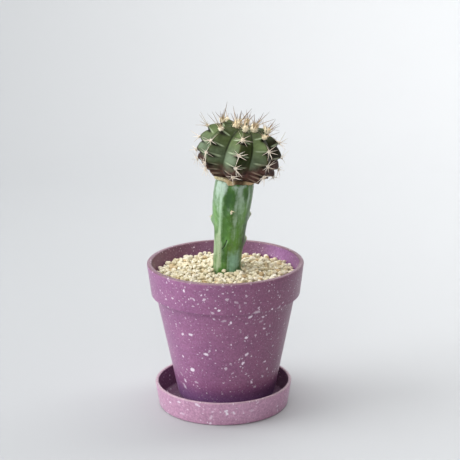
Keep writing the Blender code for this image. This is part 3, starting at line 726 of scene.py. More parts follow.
def stem_share(angle, height):
    """The stem's outline round one section, as a share of its half width."""
    twist = stem_twist(height)
    share = 0.955
    for name, rib in STEM_RIBS.items():
        away = abs(turn_between(angle, rib + twist))
        share += 0.045 * hill(away, 9.0) - 0.025 * hill(away - 20.0, 8.0)
        for areole in STEM_AREOLES[name]:
            share += STEM_SWELLING[name] * hill(away, 14.0) * hill(height - areole, 3.6)
    return share + 0.02 * hill(turn_between(angle, STEM_SHOULDER + twist), 6.0)


def stem_point(angle, height, lift=0.0):
    """A point on the stem's skin, or a little off it."""
    centre_x, half = stem_middle(height)
    lean = max(0.0, (height - STEM_LEAN_START) / (STEM_TOP - STEM_LEAN_START))
    tilt = GRAFT_TILT * lean ** 1.5
    out = level(math.radians(angle), half * stem_share(angle, height) + lift)
    return Vector((centre_x + out.x * math.cos(tilt), STEM_Y + out.y,
                   height - out.x * math.sin(tilt)))

# %% Places that the picture shows on the stem
def round_stem(x, y, height):
    """The angle round the stem's middle at a place, and how far it is outside the skin."""
    centre_x, half = stem_middle(height)
    angle = math.degrees(math.atan2(y - STEM_Y, x - centre_x)) % 360.0
    return angle, math.hypot(x - centre_x, y - STEM_Y) - half * stem_share(angle, height)


def stem_seen(x, y):
    """The angle and height of the stem's skin at a pixel of the picture."""
    p = seen(x, y, 1100.0, 0.08, lambda p: round_stem(*p)[1] <= 0)
    return round_stem(*p)[0], p.z


SCAR = [stem_seen(*pixel) for pixel in ((222, 249), (224.3, 246.4), (225.9, 243.2), (226.8, 240.4))]
# a pale line painted down the shoulder beside the front rib: a painted highlight
SHOULDER_HIGHLIGHT = [stem_seen(*pixel) for pixel in (
    (221.6, 194), (220.8, 205), (220.3, 216), (219.6, 226), (219.1, 235), (219.9, 245), (219, 258),
    (218.8, 266))]
NUB = stem_seen(227.1, 244.6)
print("scar from", [round(v, 1) for v in SCAR[0]], "to", [round(v, 1) for v in SCAR[-1]])

# %% [markdown]
# Bloom is rubbed off wherever the stem was touched, so it lies in patches that follow no rule.
# Two lists lay soft ellipses on the skin by the pixel of the picture that shows them: one for
# the bloom, where an amount below zero rubs it off, and one for the green under it, yellower
# or darker, partly its own tone and partly painted light and shade. A long pale line, a painted
# highlight, runs down the shoulder beside the front rib, and noise shifts every edge a little.

# %% Bloom and scar
BLOOM_PATCHES = (
    (215.2, 200, 3.6, 14, 0.56, 0.3), (215, 222, 3.6, 12, 0.3, 0.3), (214.5, 246, 3.6, 9, 0.85, 0.3),
    (215.6, 262, 3.2, 12, 0.66, 0.3), (218.6, 189.5, 4, 6.6, 0.95, 0.3), (224.2, 188, 3, 6.4, 0.92, 0.4),
    (217.8, 206, 1.9, 16, 0.6, 0.2), (217, 244, 2.4, 10, 0.75, 0.4), (219, 222, 1.2, 14, 0.45, 0.2),
    (217, 260, 2, 14, 0.6, 0.4), (234.6, 188.5, 1.8, 6, 0.8, 0.2), (240.3, 191.5, 2.3, 7, 0.92, 0.2),
    (241.5, 203.5, 3.3, 7, 0.9, 0.2), (236.5, 207, 2.6, 7, 0.62, 0.1), (234.9, 221, 2, 9, 0.84, 0.15),
    (233.6, 233, 1.2, 6, 0.6, 0.1), (240.5, 216, 3.6, 9, 0.42, 0), (240.5, 232, 4, 8, 0.36, 0),
    (234.4, 262, 5.2, 8.6, 0.9, 0.1), (239, 253, 2.6, 6, 0.5, 0), (227.8, 262, 0.7, 8, 0.8, 0.4),
    (249, 195, 1.5, 7.5, 0.95, 0.3), (229.9, 198, 2.8, 10, -0.85, 0.2), (226.2, 208, 2.4, 12, -0.85, 0.3),
    (224.6, 228, 2, 16, -0.8, 0.3), (246.2, 190, 1.3, 8, -0.9, 0.3), (215.8, 258, 0.8, 5, -0.45, 0.2),
    (244.8, 228, 1, 15, -0.8, 0.2), (241, 186.5, 5.5, 1.8, 0.95, 0.2),
)
# patches of yellower and of darker green: partly the skin's own tone, partly painted light and shade
GREEN_LIGHT_PATCHES = (
    (233, 245, 6, 9, 1), (214.8, 218, 3.6, 10, 0.9), (239.5, 226, 3.6, 9, 0.7),
    (244.5, 212, 3, 9, 0.9), (231, 232, 2.6, 7, 0.5), (224.4, 228, 2, 10, -0.15),
    (228.8, 204, 4.4, 10, -0.75), (224.4, 250, 2.6, 11, -0.8), (246.5, 192, 2, 9, -0.4),
    (245.2, 228, 1.4, 16, -0.7))
BLOOM_SPOTS, GREEN_LIGHT_SPOTS = ([(*stem_seen(x, y), *rest) for x, y, *rest in patches]
                           for patches in (BLOOM_PATCHES, GREEN_LIGHT_PATCHES))
print("patches on the stem:", len(BLOOM_SPOTS) + len(GREEN_LIGHT_SPOTS))


def smooth_step(value, low, high):
    """0 below low, 1 above high and a smooth step between."""
    u = min(max((value - low) / (high - low), 0.0), 1.0)
    return u * u * (3.0 - 2.0 * u)


DEGREE = 0.01745                               # in radians


def beside(angle, spot, half):
    """Millimetres round the stem between two angles, where it is so thick."""
    return turn_between(angle, spot) * half * DEGREE


def bloom_at(angle, height):
    """How much waxy bloom lies on the skin, from 0 to 1, with a painted highlight along the shoulder."""
    half = stem_middle(height)[1]
    most = 0.55 - 0.43 * smooth_step(-math.sin(math.radians(angle)), -0.15, 0.3)
    stray = noise.noise(Vector((angle * 0.09, height * 0.11, 0.0)))
    stray_up = noise.noise(Vector((angle * 0.06, height * 0.09, 7.0)))
    for spot, z, wide, tall, amount, edge in BLOOM_SPOTS:
        aside = beside(angle, spot, half) + stray * (1.4 - 1.2 * edge)
        gap = math.hypot(aside / wide, (height - z + 4.0 * stray_up) / tall)
        here = 1.0 - smooth_step(gap, edge, 2.1 - edge)
        most = max(most, amount * here) if amount > 0 else most * (1.0 + amount * here)
    # the pale line down the shoulder is a painted highlight, laid in with the bloom
    return max(most, hill(path_gap(SHOULDER_HIGHLIGHT, angle, height), 2.1))


def lush_at(angle, height):
    """1 where the green is painted yellower and lighter, and -1 where it is painted darkest: partly the
    skin's own tone, partly painted light and shade.
    """
    half = stem_middle(height)[1]
    total = 0.0
    for spot, z, wide, tall, amount in GREEN_LIGHT_SPOTS:
        gap = math.hypot(beside(angle, spot, half) / wide, (height - z) / tall)
        total += amount * (1.0 - smooth_step(gap, 0.2, 1.6))
    return min(max(total, -1.0), 1.0)


def path_gap(path, angle, height):
    """Millimetres over the skin from a place to the nearest point of a path."""
    half = stem_middle(height)[1]
    nearest = 99.0
    for (a, z), (b, w) in zip(path, path[1:]):
        run = Vector((beside(b, a, half), w - z))
        here = Vector((beside(angle, a, half), height - z))
        u = min(max(here.dot(run) / run.length_squared, 0.0), 1.0)
        nearest = min(nearest, (here - run * u).length)
    return nearest

# %% Mesh of the stem
STEM_COLUMNS = 216
STEM_STEP = 0.5
STEM_FOOT = 98.0                               # below this height the gravel hides the stem
STEM_BURIED = (STEM_STATIONS[0][0], 95.0)      # rows under the gravel


def make_stem(finish):
    """The skin of the rootstock, from its buried end to the cut."""
    steps = int((STEM_TOP - STEM_FOOT) / STEM_STEP)
    rows = [*STEM_BURIED, *(STEM_FOOT + STEM_STEP * i for i in range(steps + 1)), STEM_TOP]
    rings, bloom, lush, scar = [], [], [], []
    for height in rows:
        ring = []
        for i in range(STEM_COLUMNS):
            angle = 360.0 * i / STEM_COLUMNS
            cut = hill(path_gap(SCAR, angle, height), 0.50)
            p = stem_point(angle, height)
            dent = 0.28 * noise.noise(Vector((p.x * 0.13, p.y * 0.13, p.z * 0.05)))
            dent += 0.07 * noise.noise(Vector((p.x * 0.6, p.y * 0.6, p.z * 0.25)))
            edge = min(1.0, (STEM_TOP - height) / 1.6)
            lift = dent * edge - 0.5 * cut - 0.7 * (1.0 - math.sqrt(max(edge, 0.0)))
            ring.append(stem_point(angle, height, lift))
            bloom.append(bloom_at(angle, height))
            lush.append(lush_at(angle, height))
            scar.append(cut)
        rings.append(ring)
    foot = Vector((STEM_STATIONS[0][1], STEM_Y, rows[0]))
    top = sum(rings[-1], Vector()) / STEM_COLUMNS
    shape = Shape()
    shape.loft([[foot], *rings, [top]], bloom=[0.0, *bloom, 0.5], lush=[0.0, *lush, 0.0],
               scar=[0.0, *scar, 0.0])
    return shape.make("rootstock", finish, "stem_skin", "rootstock")

# %% [markdown]
# The skin is smooth and waxy. Under the bloom it is a deep green with fine lengthwise streaks
# and a few dark freckles. A soft noise breaks the bloom's edge, so that it looks rubbed and not
# painted. The bloom is bluish near the graft and yellowish low on the left. Where it is rubbed
# off, the skin shines a little more.

# %% Stem skin
def stem_skin():
    """Green skin with a pale bluish bloom, lengthwise streaks and an old scar."""
    skin = Finish("stem_skin", roughness=0.4, ior=1.45)
    height, aside, bloom = skin.axis("Z"), skin.axis("X"), skin.value("bloom")
    deep = skin.effect(UNEVEN, (0.045, 0.135, 0.016), (0.105, 0.25, 0.050), 140.0, 0.25)
    # painted light and shade in the green: darker below zero, yellower and lighter above, partly the
    # skin's own tone
    lush = skin.value("lush") + skin.noise(260.0, 3.0) * 1.2 - 0.6
    deep = lush.ramp(-1.0, 0.0, 1.0, 0.0).mix(deep, (0.030, 0.092, 0.020))
    deep = lush.ramp(0.0, 1.0).mix(deep, (0.155, 0.36, 0.060))
    long = skin.add("Mapping", {"Vector": skin.place, "Scale": (900.0, 900.0, 60.0)})
    broken = bloom + skin.noise(380.0, 6.0) * 0.9 + skin.noise(1.0, 3.0, long) * 0.8 - 0.85
    share = broken.ramp(0.08, 1.0)
    pale = skin.effect(UNEVEN, (0.30, 0.50, 0.25), (0.46, 0.64, 0.46), 90.0, 0.25)
    pale = height.ramp(0.150, 0.170, 0.0, 0.65).mix(pale, (0.51, 0.63, 0.56))
    warm = height.ramp(0.128, 0.146, 0.75, 0.0) * aside.ramp(-0.0045, 0.0, 1.0, 0.0)
    cool = height.ramp(0.114, 0.126, 0.9, 0.0) * aside.ramp(0.0, 0.003)
    pale = cool.mix(warm.mix(pale, (0.42, 0.51, 0.31)), (0.33, 0.62, 0.47))
    freckles = skin.effect(CHIPS, 0.0016, 0.00045, 0.6, 1.5, 9.3)
    freckles = freckles * height.ramp(0.110, 0.128, 0.9, 0.25)
    colour = freckles.mix(share.mix(deep, pale), (0.035, 0.10, 0.03))
    colour = skin.value("scar").ramp(0.25, 0.8).mix(colour, (0.005, 0.020, 0.004))
    return skin.done(colour, skin.effect(RELIEF, 700.0, 0.5, 0.18, 0.0002),
                     share.ramp(0.0, 1.0, 0.30, 0.55))


make_stem(stem_skin())

# %% [markdown]
# ## The globe's ribs
# The globe has eight ribs. Each rib's crest swells into a low bump at every areole and is
# notched just below it, like a row of chins, and the furrows between the ribs are deep and
# sharp. A formula gives the skin for a rib, a place across it and an angle down from the crown.
# It is the formula of the solid, read in steps of half a millimetre. Three things are new: the
# fine pale crease that runs across each flank at an areole's height, raised a hair above the
# skin; values that say how far each point lies from crest, crease and crown; and small dents.

# %% Sizes of the globe
HEAD_CENTRE = Vector((10.4, STEM_Y, 191.2))
HEAD_RADIUS, HEAD_HALF_HEIGHT = 30.3, 22.8
HEAD_LEAN, HEAD_TURN = 14.5, -93.0
RIB_TURNS = (0, 45, 95, 137, 180, 222, 264, 313)
FURROW_DEPTH, FLANK_BULGE, CROWN_DIMPLE = 0.21, 0.018, 3.0
CHIN_HEIGHTS = (1.1, 1.1, 0.95, 1.1, 1.1, 1.1, 0.95, 1.15)   # millimetres, for each rib
CHIN_DROP = 0.27                               # share of the way down where the notch is
AREOLES = (                                    # degrees from the crown, down each rib in turn
    (20, 50, 78.5, 98, 116), (13, 37, 64, 88, 105), (27, 54, 81, 99, 115),
    (14, 38, 67, 90, 108), (25, 54, 82, 101, 118), (12, 38, 66, 90, 109),
    (30, 56, 81, 101, 117), (13, 43, 70, 90, 107.5, 119))
BARE_CREASES = {1: (114, 123), 6: (130,), 7: (130,), 0: (130,), 2: (126,)}
HEAD_LAST = 152.0
HEAD_CUT = 15.8
MM_A_DEGREE = 0.47                             # along a rib, about
HEAD_PLACE = (Matrix.Translation(HEAD_CENTRE)
              @ Matrix.Rotation(math.radians(HEAD_LEAN), 4, "Y"))
print("globe", 2 * HEAD_RADIUS, "mm across, with", len(RIB_TURNS), "ribs")

# %% Formula of the skin
def spans(rib):
    """Each areole of a rib, with the place of the next one down."""
    places = AREOLES[rib]
    return zip(places, (*places[1:], places[-1] + 20))


def chin(rib, t):
    """Steps down a rib's crest: full at each areole, cut in below it, then rising again."""
    rise = 0.0
    for place, after in spans(rib):
        if place <= t <= after:
            u = (t - place) / (after - place)
            rise = math.cos(math.pi * u / CHIN_DROP)
            if u > CHIN_DROP:
                rise = -math.cos(math.pi * ((u - CHIN_DROP) / (1.0 - CHIN_DROP)) ** 0.8)
    return CHIN_HEIGHTS[rib] * rise * smooth_step(t, 4.0, 32.0)


def head_point(rib, side, t, lift=0.0):
    """A point of the skin in the globe's own frame.

    side runs from -1, the furrow before the rib, over 0, its crest, to 1, the furrow after it.
    """
    crest = RIB_TURNS[rib]
    after = RIB_TURNS[(rib + 1) % 8] + (360 if rib == 7 else 0)
    before = RIB_TURNS[rib - 1] - (360 if rib == 0 else 0)
    half = math.radians((after - crest) / 2 if side > 0 else (crest - before) / 2)
    sine, cosine = math.sin(math.radians(t)), math.cos(math.radians(t))
    turn = abs(side) * half
    floor = 1.0 - FURROW_DEPTH * sine ** 0.8
    chord = floor * math.sin(half)
    share = chord / (chord * math.cos(turn) - (floor * math.cos(half) - 1.0) * math.sin(turn))
    share += FLANK_BULGE * sine * 4 * abs(side) * (1 - abs(side))
    away = HEAD_RADIUS * sine ** 0.82 * (1.0 - 0.22 * smooth_step(t, 121.0, 142.0))
    up = HEAD_HALF_HEIGHT * math.copysign(abs(cosine) ** 0.9, cosine)
    up -= CROWN_DIMPLE * hill(t, 17.0)
    swell = 1.0 + (chin(rib, t) * (1 - abs(side)) ** 1.8 + lift) / HEAD_RADIUS
    a = math.radians(HEAD_TURN + crest) + math.copysign(turn, side)
    return level(a, away, up) * share * swell

# %% Creases and clefts
def crease_gap(rib, t):
    """Millimetres down the rib to the nearest crease."""
    places = AREOLES[rib] + BARE_CREASES.get(rib, ())
    return min(abs(t - place) for place in places) * MM_A_DEGREE


def notch_at(rib, side, t):
    """How deep in the cleft below an areole a place is, from 0 to 1."""
    deepest = 0.0
    for k, (place, after) in enumerate(spans(rib)):
        down = (t - place - 0.5 * CHIN_DROP * (after - place)) * MM_A_DEGREE
        size = 0.75 + 0.35 * noise.noise(Vector((rib * 3.1, k * 5.3, 0)))
        across = side * (7.0 if side > 0 else -13.0)
        deepest = max(deepest, size * hill(down, 1.4) * hill(across, 3.1))
    return min(1.0, 2.4 * deepest)

# %% [markdown]
# The waxy bloom of the globe is thin and uneven. The flanks that look to the left, towards the
# light, are painted paler than those that look to the right, which are painted deep olive: painted
# light and shade together with the bloom. A few soft patches, laid by the pixel of the picture that
# shows them, paint the skin lighter or darker than its flank, painted light and shade.

# %% Bloom of the globe
# paler on flanks that face the left light, deeper olive on those facing right: painted light and shade
# with the thin bloom
FLANK_BLOOM_AND_LIGHT = (                                # before and after the crest of each rib
    (0.50, -0.16), (0.55, -0.50), (-0.70, -0.20), (0.15, 0.20), (0.30, 0.30), (0.35, 0.25),
    (0.40, 0.50), (0.42, 0.28))
# soft patches that paint the skin lighter or darker: painted light and shade
HEAD_LIGHT_PATCHES = (
    (227.5, 160, 7, 0.25), (221.5, 137, 6.5, -0.22), (202, 143, 5, 0.15), (214, 156, 5, 0.12),
    (262, 149, 5, 0.2), (258, 139.5, 4, 0.12), (229, 132, 5.5, -0.15), (240, 136, 3.5, 0.25),
    (211, 133, 5, 0.1), (262, 133, 3.5, -0.3), (257, 163, 5, -0.15), (209, 147, 2.5, 0.35),
    (245, 155, 5, -0.1), (243, 167, 4.5, -0.15), (219, 132, 5, -0.2),
)
HEAD_ROUND, HEAD_HIGH = 28.5, 22.0             # the ellipsoid that patches are laid on


def head_seen(x, y):
    """The place, in millimetres, where a pixel's ray meets the globe taken as an ellipsoid."""
    squash = Matrix.Diagonal(Vector((1 / HEAD_ROUND, 1 / HEAD_ROUND, 1 / HEAD_HIGH)))
    start = squash @ (CAMERA_PLACE / MM - HEAD_CENTRE)
    aim = squash @ view_ray(x, y)
    half_b, c = start.dot(aim), start.length_squared - 1.0
    root = max(half_b ** 2 - aim.length_squared * c, 0.0)
    return CAMERA_PLACE / MM + view_ray(x, y) * (-half_b - math.sqrt(root)) / aim.length_squared


HEAD_LIGHT_SPOTS = [(head_seen(x, y), radius, change) for x, y, radius, change in HEAD_LIGHT_PATCHES]
print("patches on the globe:", len(HEAD_LIGHT_SPOTS))


def head_bloom(rib, side, t, place):
    """How pale the skin is at a place, up to 1, from thin bloom and painted light. Below 0 it is darkened
    with painted shade.
    """
    before, after = FLANK_BLOOM_AND_LIGHT[rib]
    amount = before + (after - before) * smooth_step(side, -0.08, 0.08)
    amount *= 0.3 + 0.7 * smooth_step(t, 22.0, 60.0)
    for middle, radius, change in HEAD_LIGHT_SPOTS:
        amount += change * (1.0 - smooth_step((place - middle).length / radius, 0.3, 1.2))
    return min(max(amount, -0.7), 1.0)

# %% Mesh of the globe
HALF_COLUMNS = 16                              # columns on one flank of a rib
HEAD_ROWS = 230


def make_head(finish):
    """The ribbed skin of the globe, closed by the cut that sits on the graft."""
    columns = []
    for rib in range(8):
        columns += [(rib, i / HALF_COLUMNS) for i in range(HALF_COLUMNS + 1)]
        columns += [((rib + 1) % 8, -1 + i / HALF_COLUMNS) for i in range(1, HALF_COLUMNS)]
    rings = [[HEAD_PLACE @ Vector((0, 0, HEAD_HALF_HEIGHT - CROWN_DIMPLE))]]
    names = ("across", "crease", "down", "notch", "bloom")
    values = [(0.0, 9.0, 0.0, 0.0, 0.4)]
    for row in range(1, HEAD_ROWS + 1):
        t = HEAD_LAST * row / HEAD_ROWS
        ring = []
        for rib, side in columns:
            gap, notch, p = crease_gap(rib, t), notch_at(rib, side, t), head_point(rib, side, t)
            flank = smooth_step(abs(side), 0.04, 0.16) * (1 - smooth_step(abs(side), 0.6, 0.9))
            lift = flank * (0.28 * hill(gap, 0.50) + 0.35 * smooth_step(gap, 0.6, 2.8))
            lift += 0.25 * noise.noise(p * 0.16) + 0.10 * noise.noise(p * 0.55) - 0.7 * notch
            ring.append(HEAD_PLACE @ head_point(rib, side, t, lift))
            values.append((abs(side), gap, t / 180.0, notch, head_bloom(rib, side, t, ring[-1])))
        rings.append(ring)
    shape = Shape()
    shape.loft(rings, **dict(zip(names, zip(*values))))
    shape.faces.append(tuple(range(len(shape.points) - len(columns), len(shape.points))))
    made = shape.make("scion_skin", finish, "head_skin", "scion")
    normal = Vector((math.sin(GRAFT_TILT), 0, math.cos(GRAFT_TILT)))
    cut = bmesh.new()
    cut.from_mesh(made.data)
    bmesh.ops.bisect_plane(cut, geom=[*cut.verts, *cut.edges, *cut.faces], dist=1e-7,
                           plane_co=(HEAD_CENTRE - normal * HEAD_CUT) * MM,
                           plane_no=-normal, clear_outer=True)
    bmesh.ops.holes_fill(cut, edges=[e for e in cut.edges if e.is_boundary])
    bmesh.ops.recalc_face_normals(cut, faces=cut.faces)
    cut.to_mesh(made.data)
    cut.free()
    return made

# %% [markdown]
# The skin is a matte grey-green, bluish where a thin bloom lies and darker on the crests. Its
# lower third has been browned by the sun to a deep purple-brown, with a soft edge that stays
# green longest in the furrows and climbs at the globe's left side. The creases are pale green.
# The furrows are painted dark and the clefts under the areoles painted nearly black, painted
# shade, and the flanks carry the painted light and shade set above. The shine is set low, or the
# dark flanks would mirror the bright surroundings like wet leather. All of this is mixed from the
# values that the mesh carries, so it is as sharp as the shader and not as coarse as the mesh.

# %% Skin finish
def head_skin():
    """Olive and grey-green skin above, purple-brown below, with a pale crease at each areole and painted
    shade in the furrows and clefts.
    """
    skin = Finish("head_skin", roughness=0.5, ior=1.42, specular_ior_level=0.2)
    names = ("across", "crease", "down", "notch", "bloom")
    across, crease, down, notch, bloom = (skin.value(name) for name in names)
    wander, mottle, x = skin.noise(110.0, 4.0), skin.noise(420.0, 5.0), skin.axis("X")
    deep = skin.effect(UNEVEN, (0.026, 0.038, 0.009), (0.062, 0.086, 0.026), 150.0, 0.25)
    pale = down.ramp(0.28, 0.50).mix((0.172, 0.240, 0.092), (0.20, 0.262, 0.168))
    amount = bloom + wander * 0.5 + mottle * 0.36 - 0.43
    green = amount.ramp(0.0, 1.0).mix(deep, pale)
    # painted shade: where the value is below zero the skin goes nearly black
    green = amount.ramp(-0.65, -0.05, 1.0, 0.0).mix(green, (0.016, 0.015, 0.004))
    green = across.ramp(0.02, 0.13, 0.55, 0.0).mix(green, (0.060, 0.058, 0.014))
    # painted shade: the furrows darkened towards nearly black, less so lower down
    furrow_shade = across.ramp(0.86, 0.985, 0.0, 0.9) * down.ramp(0.38, 0.52, 1.0, 0.4)
    green = furrow_shade.mix(green, (0.016, 0.022, 0.006))
    purple = skin.effect(UNEVEN, (0.026, 0.011, 0.008), (0.125, 0.060, 0.048), 240.0, 0.2)
    edge = skin.axis("Z") + wander * 0.012 - 0.006 - (x - 0.0104).math("ABSOLUTE") * 0.07
    edge = edge + across * 0.0018 + x.ramp(-0.0216, -0.0056, -0.0072, 0.0)
    browned = edge.ramp(0.1825, 0.1905, 1.0, 0.0)
    line = crease.ramp(0.12, 1.2, 1.0, 0.0) * across.ramp(0.04, 0.12)
    line = line * across.ramp(0.55, 0.88, 1.0, 0.0) * wander.ramp(0.30, 0.62, 0.5, 1.0)
    pale_line = browned.mix((0.40, 0.48, 0.30), (0.32, 0.23, 0.17))
    colour = line.mix(browned.mix(green, purple), pale_line)
    # painted shade: the clefts under the areoles painted nearly black
    colour = (notch * 0.93).mix(colour, (0.010, 0.009, 0.003))
    return skin.done(colour, skin.effect(RELIEF, 900.0, 0.5, 0.35, 0.0002),
                     mottle.ramp(0.3, 0.7, 0.42, 0.58))


make_head(head_skin())

# %% [markdown]
# ## Spines
# Each areole carries a spray of spines. A spine is a thin tapering needle with a slight curve.
# The old ones lie low over the skin and are chalky white with a hint of pink. The young ones at
# the crown stand up, longer, tan to brown with an orange base. Spines that the picture shows
# plainly are aimed at the pixel of their tip, and the others, also those at the back, follow a
# rule with a seed. Each is lofted along a bent line, and carries its place along the spine and
# its age as values for the shader.

# %% Areole frames
def areole_frames():
    """Each areole's rib, number, angle, root, outward normal, way up its rib and way across."""
    for rib, places in enumerate(AREOLES):
        for k, t in enumerate(places):
            root = HEAD_PLACE @ head_point(rib, 0.0, t)
            up = (HEAD_PLACE @ head_point(rib, 0.0, t - 2.0) - root).normalized()
            a = math.radians(HEAD_TURN + RIB_TURNS[rib])
            across = HEAD_PLACE.to_3x3() @ Vector((-math.sin(a), math.cos(a), 0))
            yield rib, k, t, root, across.cross(up).normalized(), up, across


print("areoles:", sum(len(places) for places in AREOLES))

# %% Spine tips in the picture
# by rib and areole: x and y of the tip in the picture, and the length in millimetres
SPINE_TIPS = {
    (6, 1): ((200.3, 111.5, 14), (199, 113.8, 14), (199, 120.5, 10), (195.5, 125, 11),
        (207.3, 120.5, 6)),
    (7, 1): ((207.2, 113.5, 17), (211.8, 111.5, 17), (220.3, 110.5, 17), (223.5, 117.5, 11),
        (217, 121.5, 8)),
    (6, 0): ((215.2, 112, 12), (227.3, 101.5, 19), (224.5, 108.5, 13), (222.8, 112.5, 11),
        (220.9, 113.5, 9)),
    (5, 1): ((226, 110, 12), (228.8, 113, 10), (221, 113.5, 12)),
    (7, 0): ((233, 105.5, 17), (241.5, 110, 15), (230.8, 113, 10), (237.5, 113.8, 12),
        (229.5, 119.5, 8)),
    (5, 0): ((241.8, 110.8, 13), (252, 108.5, 17), (234.6, 112.5, 12)),
    (0, 0): ((246.8, 109.5, 18), (243.9, 116.5, 12), (250.7, 118.5, 10), (248.6, 122.5, 8),
        (245.2, 120, 9), (240.2, 122, 9)),
    (4, 0): ((254.5, 114.5, 12), (247.8, 112.5, 13), (250.5, 114.5, 11)),
    (1, 0): ((254.5, 114, 14), (263.8, 112.5, 17), (256.6, 119.5, 10), (253.2, 121.5, 9),
        (261.5, 121, 11)),
    (3, 0): ((269.6, 112, 16), (275, 119, 17), (259.4, 117.8, 12)),
    (2, 0): ((272.8, 122.5, 9), (279.8, 123.5, 11), (279.5, 126, 10), (266, 125.3, 6),
        (275.8, 119.3, 12)),
    (1, 1): ((279.7, 132.2, 12), (275.5, 128.5, 9), (267.5, 127.5, 9), (258.5, 131.5, 8)),
    (2, 1): ((285.5, 132, 10), (287.5, 138.5, 8), (287, 143.5, 7), (285.5, 150, 9), (272, 137, 7)),
    (2, 2): ((287, 155.5, 6), (285.5, 163.5, 8), (289, 150.5, 9)),
    (2, 3): ((283, 166, 5), (284.5, 170.8, 7), (276, 179, 10), (280, 175, 8)),
    (2, 4): ((275, 180.5, 6), (279.5, 178, 7), (268.5, 181, 6)),
    (0, 1): ((250.5, 135.5, 9), (253, 142.3, 9), (247, 146.5, 6), (233.5, 138, 9), (235.5, 145, 8),
        (243, 132.5, 8)),
    (0, 2): ((245, 151.5, 8), (248.5, 154.3, 9), (246.5, 160.5, 9), (235.3, 167, 9), (233, 152.3, 8),
        (232.3, 156, 7)),
    (0, 3): ((239.5, 169.3, 6), (242.5, 177.5, 9), (236.3, 177.5, 8), (229.5, 164.5, 7),
        (241.5, 165, 7)),
    (0, 4): ((242.5, 180.3, 8), (240.3, 175.8, 8), (233.2, 186.5, 8), (228.5, 180.5, 6),
        (225.5, 176, 7)),
    (1, 2): ((276.5, 145.8, 9), (278.5, 155, 9), (266, 144.5, 8), (272.2, 160.7, 9), (267.5, 161, 8),
        (262, 155.5, 7)),
    (1, 3): ((276.3, 162.3, 8), (274.8, 169.3, 7), (268.5, 172.5, 7), (262.5, 170.5, 6),
        (271, 159.5, 7)),
    (1, 4): ((261.5, 180.5, 5), (267, 178.5, 5), (256, 183.3, 7), (263.5, 183, 6), (272, 176.5, 7)),
    (7, 2): ((217.5, 133.8, 9), (200.8, 136.3, 10), (206.6, 144.5, 7), (203.8, 141, 8),
        (216.5, 144.5, 6)),
    (7, 3): ((205, 166, 11), (203, 162, 9), (201.5, 148.5, 7), (209.5, 146, 7), (213.5, 157, 6)),
    (7, 4): ((208, 173, 8), (204, 171.5, 8), (200.5, 160, 7), (202, 166.5, 7)),
    (7, 5): ((211, 178.5, 7), (206.5, 176.5, 7), (213.5, 175, 5)),
    (6, 2): ((190.3, 130.3, 9), (191.6, 136.8, 8), (194, 142, 8), (206.5, 138.8, 7)),
    (6, 3): ((188.5, 150.3, 8), (192, 145.5, 7), (196, 158, 8), (202.5, 157.5, 7)),
    (6, 4): ((193.5, 156, 7), (197, 167, 8), (202.8, 168, 7), (194.5, 162.5, 7)),
}
print("spines aimed at the picture:", sum(len(tips) for tips in SPINE_TIPS.values()))

# %% One spine
UNION_RADIUS = 15.0
SPINE_RADIUS = 0.21
SPINE_SIDES, SPINE_STEPS = 6, 8
SPRAY = (-128, -82, -40, 40, 82, 128, 180)     # degrees round an areole, from the way up
CLEAR_ABOVE, CLEAR_ROUND = 5.2, 3.2            # kept free over the stem's top and round the graft


def blade(shape, root, aim, curve, length, widths, sides, sunk, over, **values):
    """Lofts one bent, tapering body with a ring for each width, its root sunk in the skin."""
    side = aim.orthogonal().normalized()
    other = aim.cross(side).normalized()
    rings, along = [[root - aim * (sunk + 0.1)]], [0.0]
    for i, wide in enumerate(widths):
        u = i / (len(widths) - 1)
        middle = root + aim * (length * u - sunk * (1 - u)) + curve * length * u * u
        rings.append([middle + (side * math.cos(a) + other * math.sin(a)) * wide
                      for a in (2 * math.pi * k / sides for k in range(sides))])
        along += [u] * sides
    rings.append([root + aim * (length + over) + curve * length])
    shape.loft(rings, along=[*along, 1.0], **values)


def needle(shape, root, aim, curve, length, radius, **values):
    """One spine."""
    widths = [radius * (1.0 - i / SPINE_STEPS) ** 0.7 + 0.045 for i in range(SPINE_STEPS + 1)]
    blade(shape, root, aim, curve, length, widths, SPINE_SIDES, 0.8, 0.2, **values)

# %% Where a spine points
def tip_in_picture(root, normal, x, y, length):
    """The point on a pixel's ray that lies one length from the root, on the outward side."""
    start, aim = CAMERA_PLACE / MM, view_ray(x, y)
    nearest = (root - start).dot(aim)
    passing = (start + aim * nearest - root).length
    reach = math.sqrt(max(length ** 2 - passing ** 2, 0.0))
    ends = [start + aim * (nearest + sign * reach) for sign in (-1, 1)]
    return max(ends, key=lambda end: (end - root).dot(normal))


def clear_of_stem(root, aim, length):
    """Bends a spine's direction outwards until it stays clear of the stem and the graft."""
    stem_x = STEM_STATIONS[-1][1]
    out = Vector((root.x - stem_x, root.y - STEM_Y, 0)).normalized()
    for _ in range(30):
        points = [root + aim * length * step / 6 for step in range(1, 7)]
        if not any(p.z < STEM_TOP + CLEAR_ABOVE and math.hypot(p.x - stem_x, p.y - STEM_Y)
                   < UNION_RADIUS + CLEAR_ROUND for p in points):
            return aim
        aim = (aim + out * 0.12).normalized()
    return aim

